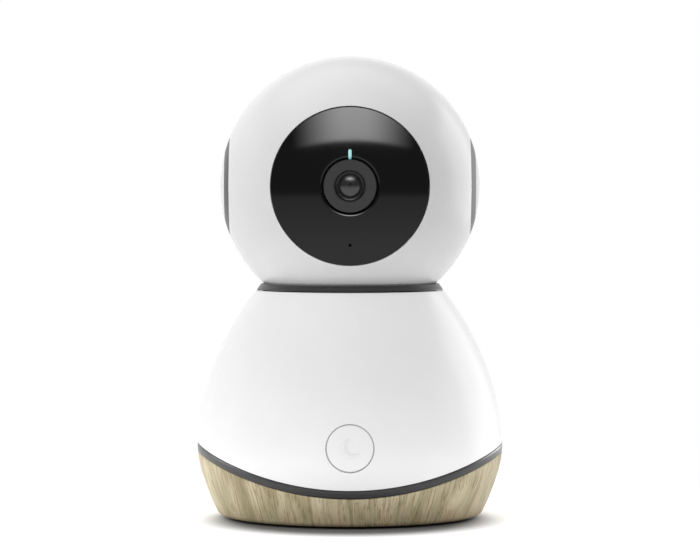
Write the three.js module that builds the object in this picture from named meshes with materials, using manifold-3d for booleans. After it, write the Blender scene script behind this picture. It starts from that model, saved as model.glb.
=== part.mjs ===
// A pan-and-tilt security camera: a ball head on a bell-shaped body with a wood-look base.
// Millimetres, +Z up, the front faces -Y, the origin is the centre of the underside.
import * as THREE from "three";
import { mergeVertices } from "three/addons/utils/BufferGeometryUtils.js";
import Module from "manifold-3d";

const wasm = await Module();
wasm.setup();

// ---- driving dimensions ----
const GAP = 0.3; // left between separate pieces
// facets round a full turn: big shells, middling pieces, small pieces and holes
const SHELL = 36;
const INSIDE = 28;
const ROUND = 20;
const SMALL = 8;
const SCREW_R = 1.1;
const SCREW_HEAD_R = 2.2;
const SCREW_HEAD_T = 1;

// body
const BODY_R = 47.1; // widest radius
const BELLY_Z = 22.4; // height of the widest place
const BODY_WALL = 2.4;
const FOOT_R = 41.2; // radius where the side turns under
const RIM_Z = 0.6; // underside of the shell, above the table
const RIM_ROUND = 1.6; // rounding between side and underside
const BASE_PLATE_R = 36;
const BASE_PLATE_T = 2.6;
const FOOT_RING_R = 33.5;
const FOOT_RING_W = 4;
const FOOT_RING_T = 1.6;
const SCREW_SUNK = 0.1; // bottom screw heads, above the shell's underside
const SCREW_CROSS = [2.4, 0.5, 1]; // each arm of the cross recess
const BOTTOM_SCREW_L = 10;
const SADDLE_EDGE_Z = 23.1; // height of the trim's top edge at the two sides
const SADDLE_DROP = 11.25; // how much lower it runs at front and back
const TRIM_H = 2.5;

// neck and head
const NECK_TOP_Z = 71.9;
const NECK_R = 26.87; // inner lip of the neck ring
const NECK_LIP = 0.55;
const NECK_H = 1.7;
const NECK_SLOPE = 0.78; // outward run of the shoulder for each millimetre down
const CUP_T = 1.6;
const CUP_HOLE_R = 19.5;
const HEAD_R = 40;
const HEAD_WALL = 2.2;
const HEAD_GAP = 0.35; // ball to cup
const FACE_R = 23.7;
const FACE_T = 2.1;
const FACE_DOME = 0.8;
const SEAT_W = 2.4; // width of the ledge behind the face panel
const SEAT_T = 2;
const LEDGE_OUT = 3.5; // how far the ledge reaches into the shell beyond the panel
const POST_R = 2.6; // screw posts that join the two halves of the ball
const HEAD_SCREW_L = 8; // thread in the rear half
const BEZEL_R = 7.9;
const BEZEL_HOLE_R = 4.7;
const BEZEL_RING_GAP = 0.7; // dark gap round the bezel
const LENS_R = 3.5;
const LIGHT_W = 1.3;
const LIGHT_L = 2.8;
const MIC_SHARE = 0.747; // microphone hole below the lens, as a share of the panel radius
const MIC_HOLE_R = 0.4;
const EAR_R = 14.9;
const EAR_CAP_R = 10.6;
const EAR_WEB_X = 33;
const EAR_WEB_T = 3;
const EAR_FLANGE_CLEAR = 1.2; // hidden flange to the inside of the ball

// tilt drive
const TILT_DOWN = 20; // degrees
const TILT_UP = 60;
const AXLE_R = 3;
const BUSH_T = 1.45;
const STEM_X = 6.2; // half width of the stem
const STEM_Y = 5;
const SLOT_SIDE = 0.4; // room each side of the stem
const SLOT_END = 0.6; // room at each end of its travel
const LINER_T = 1.2;
const LINER_CLEAR = 0.6; // liner to the inside of the ball
const DRUM_R = 12;
const WIRE_BORE_R = 3.2;
const HARNESS_R = 2.3;

// gears: straight-toothed
const MODULE = 1;
const TILT_GEAR_TEETH = 24;
const TILT_PINION_TEETH = 10;
const PAN_GEAR_TEETH = 32;
const PAN_PINION_TEETH = 10;
const TILT_GEAR_T = 2.6;
const PAN_GEAR_T = 3.5;
const MOTOR_R = 10;
const TILT_MOTOR_L = 12.6;
const PAN_MOTOR_L = 16;
const SHAFT_OFFSET = 6.5; // motor shaft to motor centre, tilt
const PAN_SHAFT_OFFSET = 5;
const SHAFT_R = 1.2;
const PAN_SHAFT_DEEP = 5; // pinion shaft inside its motor
const TILT_SHAFT_DEEP = 4;
const MOTOR_SET_BACK = 0.9; // tilt motor's face behind the gears

// pan drive and chassis
const YOKE_FLANGE_R = 14;
const YOKE_FLANGE_T = 2.2;
const TURNTABLE_R = 17;
const TURNTABLE_T = 2.5;
const SPINDLE_R = 7;
const SPINDLE_BORE_R = 4;
const BEARING_T = 4.2; // radial thickness of the pan bearing
const BEARING_H = 5.4;
const HUB_WALL = 1.8;
const PLATE_R = 35.5;
const PLATE_T = 2.5;
const LEG_R = 3.2;
const LEG_AT = 17; // leg places, across and along
const RETAINER_T = 1.5;

// electronics
const BOARD_Z = 17.5;
const BOARD_R = 39;
const BOARD_T = 1.6;
const USB_W = 9;
const USB_H = 3.2;
const USB_FIT = 0.35;
const USB_SET_BACK = 0.5; // inlet's mouth behind the widest radius
const USB_WALL = 0.4;
const USB_TONGUE_T = 0.7;
const SOCKET_SIZE = [8, 5, 1.5];
const SHIELD_SIZE = [14, 16, 2.4];
const SHIELD_X = 16;
const ANTENNA_SIZE = [0.8, 16, 7];
const ANTENNA_Z = 30;
const SWITCH_SIZE = [6, 1.8, 6];
const SWITCH_TIP_R = 1.7;
const SWITCH_TIP_L = 1.2;
const BUTTON_BOARD_SIZE = [18, 1.2, 11];
const SENSOR_BOARD = 24;
const SMALL_BOARD_T = 1.2;
const IR_BOARD_T = 1;
const LED_R = 2;
const LED_L = 1.4;
const MIC_R = 1.9;
const MIC_T = 1.2;
const SPEAKER_R = 11;
const SPEAKER_T = 5.5;
const SPEAKER_CONE = 2.5; // depth of the cone
const GRILLE_SLOTS = 5;
const GRILLE_SLOT_W = 1.4;
const GRILLE_SLOT_H = 12;
const GRILLE_PITCH = 3.2;
const SPEAKER_Z = 36;

// front button
const BUTTON_R = 6.85;
const BUTTON_Z = 24.6;
const BUTTON_FIT = 0.35;
const BUTTON_TRAVEL = 0.6;
const BUTTON_FLANGE = 1.4;
const BUTTON_FLANGE_T = 1;
const BUTTON_STEM_R = 2.2;
const BUTTON_FLANGE_CLEAR = 0.6; // flange to the wall it hooks behind

// ---- derived places ----
const seatR = HEAD_R + HEAD_GAP;
const headZ = NECK_TOP_Z + Math.sqrt(seatR ** 2 - NECK_R ** 2);
const ballBottom = headZ - HEAD_R;
const neckBottomZ = NECK_TOP_Z - NECK_H;
const neckBottomR = NECK_R + NECK_LIP + NECK_H * NECK_SLOPE;
const shoulderZ = neckBottomZ - GAP;
const shoulderR = neckBottomR + GAP * NECK_SLOPE;
const yokeZ = ballBottom - 2 - YOKE_FLANGE_T;
const turntableZ = yokeZ - GAP - TURNTABLE_T;
const panGearZ = turntableZ - GAP - PAN_GEAR_T;
const plateZ = panGearZ - 2 * GAP - PLATE_T;
const bearingZ = plateZ - BEARING_H + 1.2;
const spindleBottom = bearingZ - 2.6;
const panCentres = ((PAN_GEAR_TEETH + PAN_PINION_TEETH) * MODULE) / 2;
const tiltCentres = ((TILT_GEAR_TEETH + TILT_PINION_TEETH) * MODULE) / 2;
const slotX = STEM_X + SLOT_SIDE;
const tiltGearX = slotX + LINER_T + 0.8;
const headInner = HEAD_R - HEAD_WALL;
const faceY = -Math.sqrt(HEAD_R ** 2 - (FACE_R + GAP) ** 2); // front edge of the face opening
const faceBack = faceY + FACE_T;
const seatFront = faceBack + GAP;
const seatHoleR = FACE_R - SEAT_W + 0.3;
const screwAt = (seatHoleR - 1.1) / Math.SQRT2; // posts above and below the axle
const postX = Math.max(screwAt, tiltGearX + TILT_GEAR_T + GAP + POST_R); // posts beside the tilt gear
const postsR = Math.hypot(postX, screwAt);
const micZ = headZ - FACE_R * MIC_SHARE;
const basePlateTop = RIM_Z + BASE_PLATE_T;

// ---- materials ----
const finish = (color, roughness, metalness = 0) =>
  new THREE.MeshStandardMaterial({ color, roughness, metalness });
const WHITE = finish(0xf4f4f2, 0.25);
const CHARCOAL = finish(0x3f3f40, 0.45);
const GLOSS_BLACK = finish(0x121213, 0.08);
const DARK = finish(0x262628, 0.6);
const WOOD = finish(0xb5a883, 0.55);
const RUBBER = finish(0x2b2b2b, 0.9);
const BOARD = finish(0x1f5a3c, 0.5);
const METAL = finish(0xb8babd, 0.35, 1);
const BRASS = finish(0xb79a5a, 0.4, 1);
const GEAR_PLASTIC = finish(0xe8e6df, 0.5);
const LENS = finish(0x1a2030, 0.05);
const LIGHT = finish(0xa8e6e6, 0.3);
const COPPER = finish(0xb87345, 0.4, 1);

// ---- solids ----
const bare = (geometry) => {
  const g = geometry.clone();
  for (const name of Object.keys(g.attributes)) if (name !== "position") g.deleteAttribute(name);
  return mergeVertices(g, 1e-4);
};

function toSolid(geometry) {
  const g = bare(geometry);
  const raw = g.index.array;
  const kept = [];
  for (let i = 0; i < raw.length; i += 3) {
    const [a, b, c] = [raw[i], raw[i + 1], raw[i + 2]];
    if (a !== b && b !== c && a !== c) kept.push(a, b, c);
  }
  const vertProperties = new Float32Array(g.attributes.position.array);
  const make = (triVerts) =>
    new wasm.Manifold(new wasm.Mesh({ numProp: 3, vertProperties, triVerts: new Uint32Array(triVerts) }));
  const made = make(kept);
  if (made.volume() >= 0) return made;
  for (let i = 0; i < kept.length; i += 3) [kept[i], kept[i + 1]] = [kept[i + 1], kept[i]];
  return make(kept);
}

function toGeometry(solid) {
  const mesh = solid.getMesh();
  return new THREE.BufferGeometry()
    .setAttribute("position", new THREE.BufferAttribute(new Float32Array(mesh.vertProperties), 3))
    .setIndex(new THREE.BufferAttribute(new Uint32Array(mesh.triVerts), 1));
}

const join = (first, ...rest) => rest.reduce((all, s) => all.add(s), first);
const cut = (first, ...rest) => rest.reduce((all, s) => all.subtract(s), first);
const common = (first, second) => first.intersect(second);

// Each maker below returns a solid; axis is "x", "y" or "z" and start is the low end on it.
const TURNS = {
  x: new THREE.Matrix4().makeRotationY(Math.PI / 2),
  y: new THREE.Matrix4().makeRotationX(-Math.PI / 2),
  z: new THREE.Matrix4(),
};

function turned(profile, { axis = "z", at = [0, 0, 0], segments = SHELL, mirror = false } = {}) {
  const points = profile.map(([r, h]) => new THREE.Vector2(r, mirror ? -h : h));
  const closed = points[0].x > 0 || points[points.length - 1].x > 0;
  if (closed) points.push(points[0].clone());
  const g = new THREE.LatheGeometry(points, segments);
  g.applyMatrix4(new THREE.Matrix4().makeRotationX(Math.PI / 2));
  g.applyMatrix4(TURNS[axis]);
  g.translate(...at);
  return toSolid(g);
}

function rod(r, length, axis, start, [u, v] = [0, 0], segments = ROUND) {
  const at = { x: [start, u, v], y: [u, start, v], z: [u, v, start] }[axis];
  return turned([[0, 0], [r, 0], [r, length], [0, length]], { axis, at, segments });
}

function tube(outer, inner, length, axis, start, across = [0, 0], segments = ROUND) {
  return cut(
    rod(outer, length, axis, start, across, segments),
    rod(inner, length + 2, axis, start - 1, across, segments),
  );
}

function block(sizes, centre) {
  return toSolid(new THREE.BoxGeometry(...sizes).translate(...centre));
}

// An outline in two coordinates, pushed along the third by depth from start.
function slab(outline, depth, axis, start) {
  const g = new THREE.ExtrudeGeometry(new THREE.Shape(outline), { depth, bevelEnabled: false, steps: 1 });
  const [x, y, z] = [0, 1, 2].map((i) => new THREE.Vector3().setComponent(i, 1));
  const sides = { x: [y, z, x], y: [x, z, y], z: [x, y, z] }[axis];
  g.translate(0, 0, start);
  g.applyMatrix4(new THREE.Matrix4().makeBasis(...sides));
  return toSolid(g);
}

function ball(r, z, across = SHELL, up = SHELL / 2) {
  return toSolid(new THREE.SphereGeometry(r, across, up).rotateX(Math.PI / 2).translate(0, 0, z));
}

const sphereAt = (r, radius) => Math.sqrt(radius ** 2 - r ** 2);

// Points of a circular arc about the origin, between two radii from the axis.
const arcPoints = (radius, from, to, steps) =>
  Array.from({ length: steps + 1 }, (_, i) => {
    const r = from + ((to - from) * i) / steps;
    return [r, sphereAt(r, radius)];
  });

// A straight-toothed gear outline: involute-like flanks with running backlash.
function gearOutline(teeth, turn = 0) {
  const pitch = (teeth * MODULE) / 2;
  const step = (2 * Math.PI) / teeth;
  const flanks = [
    [pitch - 1.2 * MODULE, 0.31],
    [pitch, 0.215],
    [pitch + 0.85 * MODULE, 0.1],
  ];
  const points = [];
  for (let i = 0; i < teeth; i++) {
    const middle = i * step + turn;
    const half = [...flanks.map(([r, w]) => [r, -w]), ...flanks.map(([r, w]) => [r, w]).reverse()];
    for (const [r, w] of half) {
      const angle = middle + w * step;
      points.push(new THREE.Vector2(r * Math.cos(angle), r * Math.sin(angle)));
    }
  }
  return points;
}

function gear(teeth, thickness, axis, at, turn = 0) {
  const g = new THREE.ExtrudeGeometry(new THREE.Shape(gearOutline(teeth, turn)), {
    depth: thickness,
    bevelEnabled: false,
  });
  g.applyMatrix4(TURNS[axis]);
  g.translate(...at);
  return toSolid(g);
}

// Each gear points a tooth at its pinion, which turns a gap towards it.
const TOWARDS_PINION = Math.PI;
const gapTurn = (teeth) => Math.PI / teeth;

// ---- the camera ----
const camera = new THREE.Group();
camera.name = "security_camera";

function piece(name, solid, material) {
  const mesh = new THREE.Mesh(toGeometry(solid), material);
  mesh.name = name;
  camera.add(mesh);
}

// Outer outline of the body from the underside up to the shoulder, as [radius, height].
function bodyOutline() {
  const v = (x, y) => new THREE.Vector2(x, y);
  const sideBottom = v(FOOT_R, RIM_Z + RIM_ROUND);
  const low = new THREE.CubicBezierCurve(
    sideBottom,
    v(FOOT_R + 4.5, RIM_Z + RIM_ROUND + 9),
    v(BODY_R, BELLY_Z - 4),
    v(BODY_R, BELLY_Z),
  );
  const high = new THREE.CubicBezierCurve(
    v(BODY_R, BELLY_Z),
    v(BODY_R, BELLY_Z + 9),
    v(shoulderR + 19 * NECK_SLOPE, shoulderZ - 19),
    v(shoulderR, shoulderZ),
  );
  const under = new THREE.QuadraticBezierCurve(
    v(FOOT_R - RIM_ROUND * 1.6, RIM_Z),
    v(FOOT_R - 0.7, RIM_Z),
    sideBottom,
  );
  return [...under.getPoints(2).slice(0, -1), ...low.getPoints(4).slice(0, -1), ...high.getPoints(8)];
}

// The same outline moved inwards by the wall.
function inset(points, wall) {
  return points.map((p, i) => {
    const before = points[Math.max(0, i - 1)];
    const after = points[Math.min(points.length - 1, i + 1)];
    const along = after.clone().sub(before).normalize();
    return new THREE.Vector2(p.x - along.y * wall, p.y + along.x * wall);
  });
}

const outline = bodyOutline();
const inner = inset(outline, BODY_WALL).filter((p) => p.y > basePlateTop + GAP && p.y < shoulderZ);
const pairs = (points) => points.map((p) => [p.x, p.y]);
const plateOpeningR = BASE_PLATE_R + GAP;
const topIn = inner[inner.length - 1];
const wallProfile = [
  [plateOpeningR, RIM_Z],
  ...pairs(outline),
  [topIn.x - (shoulderZ - topIn.y) * NECK_SLOPE, shoulderZ],
  ...pairs(inner).reverse(),
  [inner[0].x, basePlateTop],
  [plateOpeningR, basePlateTop],
];
const bodyWall = turned(wallProfile, { segments: SHELL });
const bodyFull = turned([[0, RIM_Z], ...pairs(outline), [0, shoulderZ]], { segments: SHELL });

// Everything above the saddle surface that runs level from front to back, lowered by drop.
function aboveSaddle(drop) {
  const reach = BODY_R + 10;
  const steps = 14;
  const points = [];
  for (let i = 0; i <= steps; i++) {
    const x = -reach + (2 * reach * i) / steps;
    points.push(new THREE.Vector2(x, SADDLE_EDGE_Z - SADDLE_DROP * (1 - (x / BODY_R) ** 2) - drop));
  }
  points.push(new THREE.Vector2(reach, headZ), new THREE.Vector2(-reach, headZ));
  return slab(points, 2 * reach, "y", -reach);
}

const cupOuter = ball(seatR + CUP_T + GAP, headZ);
const buttonHole = rod(BUTTON_R + BUTTON_FIT, 20, "y", -BODY_R - 8, [0, BUTTON_Z]);
const usbZ = BOARD_Z + BOARD_T + GAP + USB_H / 2;
const usbHole = block([USB_W + 2 * USB_FIT, 14, USB_H + 2 * USB_FIT], [0, BODY_R - 2, usbZ]);
const grille = [];
for (let i = 0; i < GRILLE_SLOTS; i++) {
  const x = (i - (GRILLE_SLOTS - 1) / 2) * GRILLE_PITCH;
  grille.push(block([GRILLE_SLOT_W, 14, GRILLE_SLOT_H], [x, BODY_R - 3, SPEAKER_Z]));
}

piece(
  "body_shell",
  cut(common(bodyWall, aboveSaddle(-GAP / 2)), cupOuter, buttonHole, usbHole, ...grille),
  WHITE,
);
piece("trim_band", cut(common(bodyWall, aboveSaddle(TRIM_H - GAP / 2)), aboveSaddle(GAP / 2)), CHARCOAL);
piece("wood_base_shell", cut(bodyWall, aboveSaddle(TRIM_H + GAP / 2)), WOOD);

// Neck ring with the cup that the ball sits in.
function neckRing() {
  const cupR = seatR + CUP_T;
  const steps = 4;
  const down = (radius, from) =>
    Array.from({ length: steps + 1 }, (_, i) => {
      const r = from + ((CUP_HOLE_R - from) * i) / steps;
      return [r, headZ - sphereAt(r, radius)];
    });
  const stepR = sphereAt(headZ - neckBottomZ, cupR);
  return turned(
    [
      [NECK_R + NECK_LIP, NECK_TOP_Z],
      [neckBottomR, neckBottomZ],
      ...down(cupR, stepR),
      ...down(seatR, NECK_R).reverse(),
    ],
    { segments: SHELL },
  );
}
piece("neck_ring", neckRing(), CHARCOAL);

// ---- underside ----
const corners = [[-1, -1], [1, -1], [1, 1], [-1, 1]];
const legPlaces = corners.map(([x, y]) => [x * LEG_AT, y * LEG_AT]);
const footRingIn = FOOT_RING_R - FOOT_RING_W;
piece("foot_ring", tube(FOOT_RING_R, footRingIn, FOOT_RING_T, "z", 0, [0, 0], SHELL), RUBBER);

function basePlate() {
  let plate = rod(BASE_PLATE_R, BASE_PLATE_T, "z", RIM_Z, [0, 0], SHELL);
  const grooveH = FOOT_RING_T + GAP + 1;
  const groove = tube(FOOT_RING_R + GAP, footRingIn - GAP, grooveH, "z", -1, [0, 0], SHELL);
  plate = cut(plate, groove);
  for (const place of legPlaces) {
    plate = cut(
      plate,
      rod(SCREW_HEAD_R + GAP, SCREW_HEAD_T + 0.4 + 1, "z", RIM_Z - 1, place, SMALL),
      rod(SCREW_R + GAP, 10, "z", -1, place, SMALL),
    );
  }
  return plate;
}
piece("base_plate", basePlate(), DARK);

legPlaces.forEach((place, i) => {
  const headLow = RIM_Z + SCREW_SUNK;
  const [long, narrow, deep] = SCREW_CROSS;
  const head = cut(
    rod(SCREW_HEAD_R, SCREW_HEAD_T, "z", headLow, place, SMALL),
    block([long, narrow, deep], [...place, headLow]),
    block([narrow, long, deep], [...place, headLow]),
  );
  const shank = rod(SCREW_R, BOTTOM_SCREW_L, "z", headLow + SCREW_HEAD_T * 0.8, place, SMALL);
  piece("base_screw_" + (i + 1), join(head, shank), METAL);
});

// ---- chassis and pan drive ----
const bearingR = SPINDLE_R + GAP + BEARING_T;
const hubR = bearingR + GAP + HUB_WALL;
const pinionX = -panCentres;

function chassis() {
  const hub = rod(hubR, plateZ - bearingZ + GAP + 1.2 + 0.1, "z", bearingZ - GAP - 1.2);
  let frame = join(rod(PLATE_R, PLATE_T, "z", plateZ, [0, 0], SHELL), hub);
  const legBottom = basePlateTop + GAP;
  for (const place of legPlaces) {
    frame = join(frame, rod(LEG_R, plateZ - legBottom + 0.1, "z", legBottom, place, SMALL));
  }
  const bores = legPlaces.map((place) => rod(SCREW_R + GAP, 12, "z", legBottom - 1, place, SMALL));
  return cut(
    frame,
    ...bores,
    rod(bearingR + GAP, PLATE_T + BEARING_H + 2, "z", bearingZ - GAP),
    rod(SPINDLE_R + GAP + 1, 12, "z", bearingZ - 4),
    rod(SHAFT_R + 1, 12, "z", plateZ - 4, [pinionX, 0], SMALL),
  );
}
piece("chassis", chassis(), DARK);
piece("pan_bearing", tube(bearingR, SPINDLE_R + GAP, BEARING_H, "z", bearingZ), METAL);

function turntable() {
  return cut(
    join(
      rod(TURNTABLE_R, TURNTABLE_T, "z", turntableZ),
      rod(SPINDLE_R, turntableZ - spindleBottom + 0.5, "z", spindleBottom),
    ),
    rod(SPINDLE_BORE_R, 60, "z", spindleBottom - 5, [0, 0], SMALL),
  );
}
piece("turntable", turntable(), GEAR_PLASTIC);
piece(
  "pan_gear",
  cut(
    gear(PAN_GEAR_TEETH, PAN_GEAR_T, "z", [0, 0, panGearZ], TOWARDS_PINION),
    rod(SPINDLE_R + GAP, 20, "z", panGearZ - 8),
  ),
  GEAR_PLASTIC,
);
const retainerZ = spindleBottom - GAP - RETAINER_T;
piece("pan_retainer", tube(bearingR - 1, SPINDLE_BORE_R, RETAINER_T, "z", retainerZ), METAL);

const panMotorTop = plateZ - GAP;
const panMotorBottom = panMotorTop - PAN_MOTOR_L;
const panMotorX = pinionX - PAN_SHAFT_OFFSET;
const panShaftZ = panMotorTop - PAN_SHAFT_DEEP;
piece(
  "pan_motor",
  cut(
    rod(MOTOR_R, PAN_MOTOR_L, "z", panMotorBottom, [panMotorX, 0]),
    rod(SHAFT_R + GAP, PAN_SHAFT_DEEP + 1, "z", panShaftZ, [pinionX, 0], SMALL),
  ),
  METAL,
);
piece(
  "pan_pinion",
  join(
    gear(PAN_PINION_TEETH, PAN_GEAR_T, "z", [pinionX, 0, panGearZ], gapTurn(PAN_PINION_TEETH)),
    rod(SHAFT_R, panGearZ - panShaftZ, "z", panShaftZ + GAP, [pinionX, 0], SMALL),
  ),
  BRASS,
);

// ---- yoke ----
function tiltYoke() {
  const stemH = headZ - yokeZ;
  return cut(
    join(
      rod(YOKE_FLANGE_R, YOKE_FLANGE_T, "z", yokeZ),
      block([2 * STEM_X, 2 * STEM_Y, stemH], [0, 0, yokeZ + stemH / 2]),
      rod(DRUM_R, 2 * STEM_X, "x", -STEM_X, [0, headZ]),
    ),
    rod(AXLE_R + GAP, 40, "x", -20, [0, headZ], 20),
    rod(WIRE_BORE_R, stemH - AXLE_R - 3 + 5, "z", yokeZ - 5, [0, 0], SMALL),
  );
}
piece("tilt_yoke", tiltYoke(), DARK);
const bushX = EAR_WEB_X - 3.5;
const axleEnd = EAR_WEB_X + EAR_WEB_T - 0.6;
piece("tilt_axle", rod(AXLE_R, 2 * axleEnd, "x", -axleEnd, [0, headZ], 20), METAL);
piece(
  "tilt_gear",
  cut(
    gear(TILT_GEAR_TEETH, TILT_GEAR_T, "x", [tiltGearX, 0, headZ], TOWARDS_PINION),
    rod(AXLE_R + GAP, 20, "x", tiltGearX - 8, [0, headZ], 20),
  ),
  GEAR_PLASTIC,
);
const harnessTop = headZ - AXLE_R - 5;
const harnessBottom = BOARD_Z + BOARD_T + 2.4;
const harnessL = harnessTop - harnessBottom;
piece("wire_harness", rod(HARNESS_R, harnessL, "z", harnessBottom, [0, 0], SMALL), COPPER);

// ---- base electronics ----
function mainBoard() {
  const holes = legPlaces.map((place) => rod(LEG_R + GAP, 6, "z", BOARD_Z - 2, place, SMALL));
  return cut(rod(BOARD_R, BOARD_T, "z", BOARD_Z, [0, 0], SHELL), ...holes);
}
piece("main_board", mainBoard(), BOARD);
const onBoard = BOARD_Z + BOARD_T + GAP;
piece("harness_socket", block(SOCKET_SIZE, [0, 0, onBoard + SOCKET_SIZE[2] / 2]), GEAR_PLASTIC);
piece("processor_shield", block(SHIELD_SIZE, [SHIELD_X, 0, onBoard + SHIELD_SIZE[2] / 2]), METAL);
const usbEnd = sphereAt(USB_W / 2, BODY_R) - USB_SET_BACK;
const usbStart = BOARD_R - 2;
function usbInlet() {
  const shell = block([USB_W, usbEnd - usbStart, USB_H], [0, (usbEnd + usbStart) / 2, usbZ]);
  const mouth = block([USB_W - 2 * USB_WALL, 7, USB_H - 2 * USB_WALL], [0, usbEnd - 3, usbZ]);
  const tongue = block([USB_W - 3, 6, USB_TONGUE_T], [0, usbEnd - 3.8, usbZ]);
  return join(cut(shell, mouth), tongue);
}
piece("usb_inlet", usbInlet(), METAL);

// Radius of the inside of the body's wall at a height.
function wallInsideAt(z) {
  const i = inner.findIndex((p) => p.y > z);
  const [below, above] = [inner[i - 1], inner[i]];
  return below.x + ((above.x - below.x) * (z - below.y)) / (above.y - below.y);
}

// How far out a flat disc facing the wall can stand before its rim touches.
function discReach(radius, z) {
  const rim = Array.from({ length: ROUND }, (_, i) => (2 * Math.PI * i) / ROUND);
  const room = rim.map((a) => sphereAt(radius * Math.cos(a), wallInsideAt(z + radius * Math.sin(a))));
  return Math.min(...room);
}

const speakerBack = discReach(SPEAKER_R, SPEAKER_Z) - 2 * GAP - SPEAKER_T;
function speaker() {
  const basket = rod(SPEAKER_R, SPEAKER_T, "y", speakerBack, [0, SPEAKER_Z]);
  const coneLow = SPEAKER_T - SPEAKER_CONE;
  const profile = [[0, coneLow], [3, coneLow], [SPEAKER_R - 1.5, SPEAKER_T + 1], [0, SPEAKER_T + 1]];
  return cut(basket, turned(profile, { axis: "y", at: [0, speakerBack, SPEAKER_Z], segments: ROUND }));
}
piece("speaker", speaker(), DARK);
piece("wifi_antenna", block(ANTENNA_SIZE, [BODY_R - BODY_WALL - 5, 0, ANTENNA_Z]), BOARD);

// ---- front button ----
const flangeR = BUTTON_R + BUTTON_FLANGE;
const flangeY = BUTTON_FLANGE_CLEAR - discReach(flangeR, BUTTON_Z);
const stemEnd = flangeY + BUTTON_FLANGE_T + 0.8;
function frontButton() {
  const barrel = rod(BUTTON_R, flangeY + BODY_R + 8.3, "y", -BODY_R - 8, [0, BUTTON_Z]);
  return join(
    common(barrel, bodyFull),
    rod(flangeR, BUTTON_FLANGE_T, "y", flangeY, [0, BUTTON_Z]),
    rod(BUTTON_STEM_R, 2, "y", stemEnd - 2, [0, BUTTON_Z], SMALL),
  );
}
piece("front_button", frontButton(), WHITE);
const switchFront = stemEnd + BUTTON_TRAVEL + GAP;
const switchBack = switchFront + SWITCH_TIP_L + SWITCH_SIZE[1] - 0.2;
piece(
  "tact_switch",
  join(
    rod(SWITCH_TIP_R, SWITCH_TIP_L, "y", switchFront, [0, BUTTON_Z], SMALL),
    block(SWITCH_SIZE, [0, switchBack - SWITCH_SIZE[1] / 2, BUTTON_Z]),
  ),
  DARK,
);
const buttonBoardY = switchBack + GAP + BUTTON_BOARD_SIZE[1] / 2;
piece("button_board", block(BUTTON_BOARD_SIZE, [0, buttonBoardY, BUTTON_Z + 0.6]), BOARD);

// ---- head ----
const headBall = ball(HEAD_R, headZ);
const headShell = cut(headBall, ball(headInner, headZ, INSIDE, INSIDE / 2));
const earCut = [-1, 1].map((side) => {
  const length = 20;
  const start = side > 0 ? EAR_WEB_X - 3 : -EAR_WEB_X + 3 - length;
  return rod(EAR_R + GAP, length, "x", start, [0, headZ]);
});

// The space the stem needs as the head tilts, grown by extra: the sweep of a bar turned about X.
function stemSweep(extra, radius, halfWidth) {
  const half = STEM_Y + SLOT_END + extra;
  const across = (degrees, out, off) => {
    const a = THREE.MathUtils.degToRad(degrees);
    return new THREE.Vector2(
      Math.sin(a) * out + Math.cos(a) * off,
      headZ - Math.cos(a) * out + Math.sin(a) * off,
    );
  };
  const reach = Math.sqrt(radius ** 2 - half ** 2);
  const steps = 12;
  const points = [across(-TILT_DOWN, 0, -half), across(-TILT_DOWN, reach, -half)];
  const spread = THREE.MathUtils.radToDeg(Math.asin(half / radius));
  for (let i = 1; i < steps; i++) {
    const from = -TILT_DOWN - spread;
    const to = TILT_UP + spread;
    points.push(across(from + ((to - from) * i) / steps, radius, 0));
  }
  points.push(across(TILT_UP, reach, half), across(TILT_UP, 0, half));
  return slab(points, 2 * halfWidth, "x", -halfWidth);
}
const slot = stemSweep(0, HEAD_R + 6, slotX);

function slotLiner() {
  const room = ball(headInner - LINER_CLEAR, headZ, INSIDE, INSIDE / 2);
  const walls = common(stemSweep(LINER_T, HEAD_R, slotX + LINER_T), room);
  return cut(walls, rod(DRUM_R + 2 * GAP, 40, "x", -20, [0, headZ]), slot);
}
piece("slot_liner", slotLiner(), CHARCOAL);

const screwPlaces = corners.map(([x, z]) => [x * postX, headZ + z * screwAt]);
const headScrewHeadR = SCREW_HEAD_R * 0.9;
const postFront = seatFront + GAP + SCREW_HEAD_T + GAP;
const half = (side) =>
  block([4 * HEAD_R, 2 * HEAD_R, 4 * HEAD_R], [0, side * (HEAD_R + GAP / 2), headZ]);

function headFrontShell() {
  const insideBall = ball(HEAD_R - HEAD_WALL / 2, headZ, INSIDE, INSIDE / 2);
  const ledge = rod(FACE_R + LEDGE_OUT, SEAT_T, "y", seatFront, [0, headZ], SHELL);
  const postL = -GAP / 2 - postFront;
  const posts = screwPlaces.map((place) => rod(POST_R, postL, "y", postFront, place, SMALL));
  const recesses = screwPlaces.map((place) =>
    rod(headScrewHeadR + GAP, 6, "y", postFront - 6, place, SMALL),
  );
  const bores = screwPlaces.map((place) => rod(SCREW_R + GAP, 60, "y", -50, place, SMALL));
  const shell = common(headShell, half(-1));
  const opening = rod(FACE_R + GAP, 20, "y", seatFront - 20, [0, headZ], SHELL);
  return cut(
    join(shell, common(join(ledge, ...posts), insideBall)),
    opening,
    rod(seatHoleR, SEAT_T + 1, "y", seatFront - 0.5, [0, headZ], SHELL).subtract(join(...posts)),
    ...recesses,
    ...bores,
    ...earCut,
    slot,
  );
}
piece("head_front_shell", headFrontShell(), WHITE);

function headRearShell() {
  const insideBall = ball(HEAD_R - HEAD_WALL / 2, headZ, INSIDE, INSIDE / 2);
  const posts = screwPlaces.map((place) => rod(POST_R, HEAD_R, "y", GAP / 2, place, SMALL));
  const bores = screwPlaces.map((place) => rod(SCREW_R + GAP, 13, "y", -1, place, SMALL));
  return cut(
    join(common(headShell, half(1)), common(join(...posts), insideBall)),
    ...bores,
    ...earCut,
    slot,
  );
}
piece("head_rear_shell", headRearShell(), WHITE);

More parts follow.
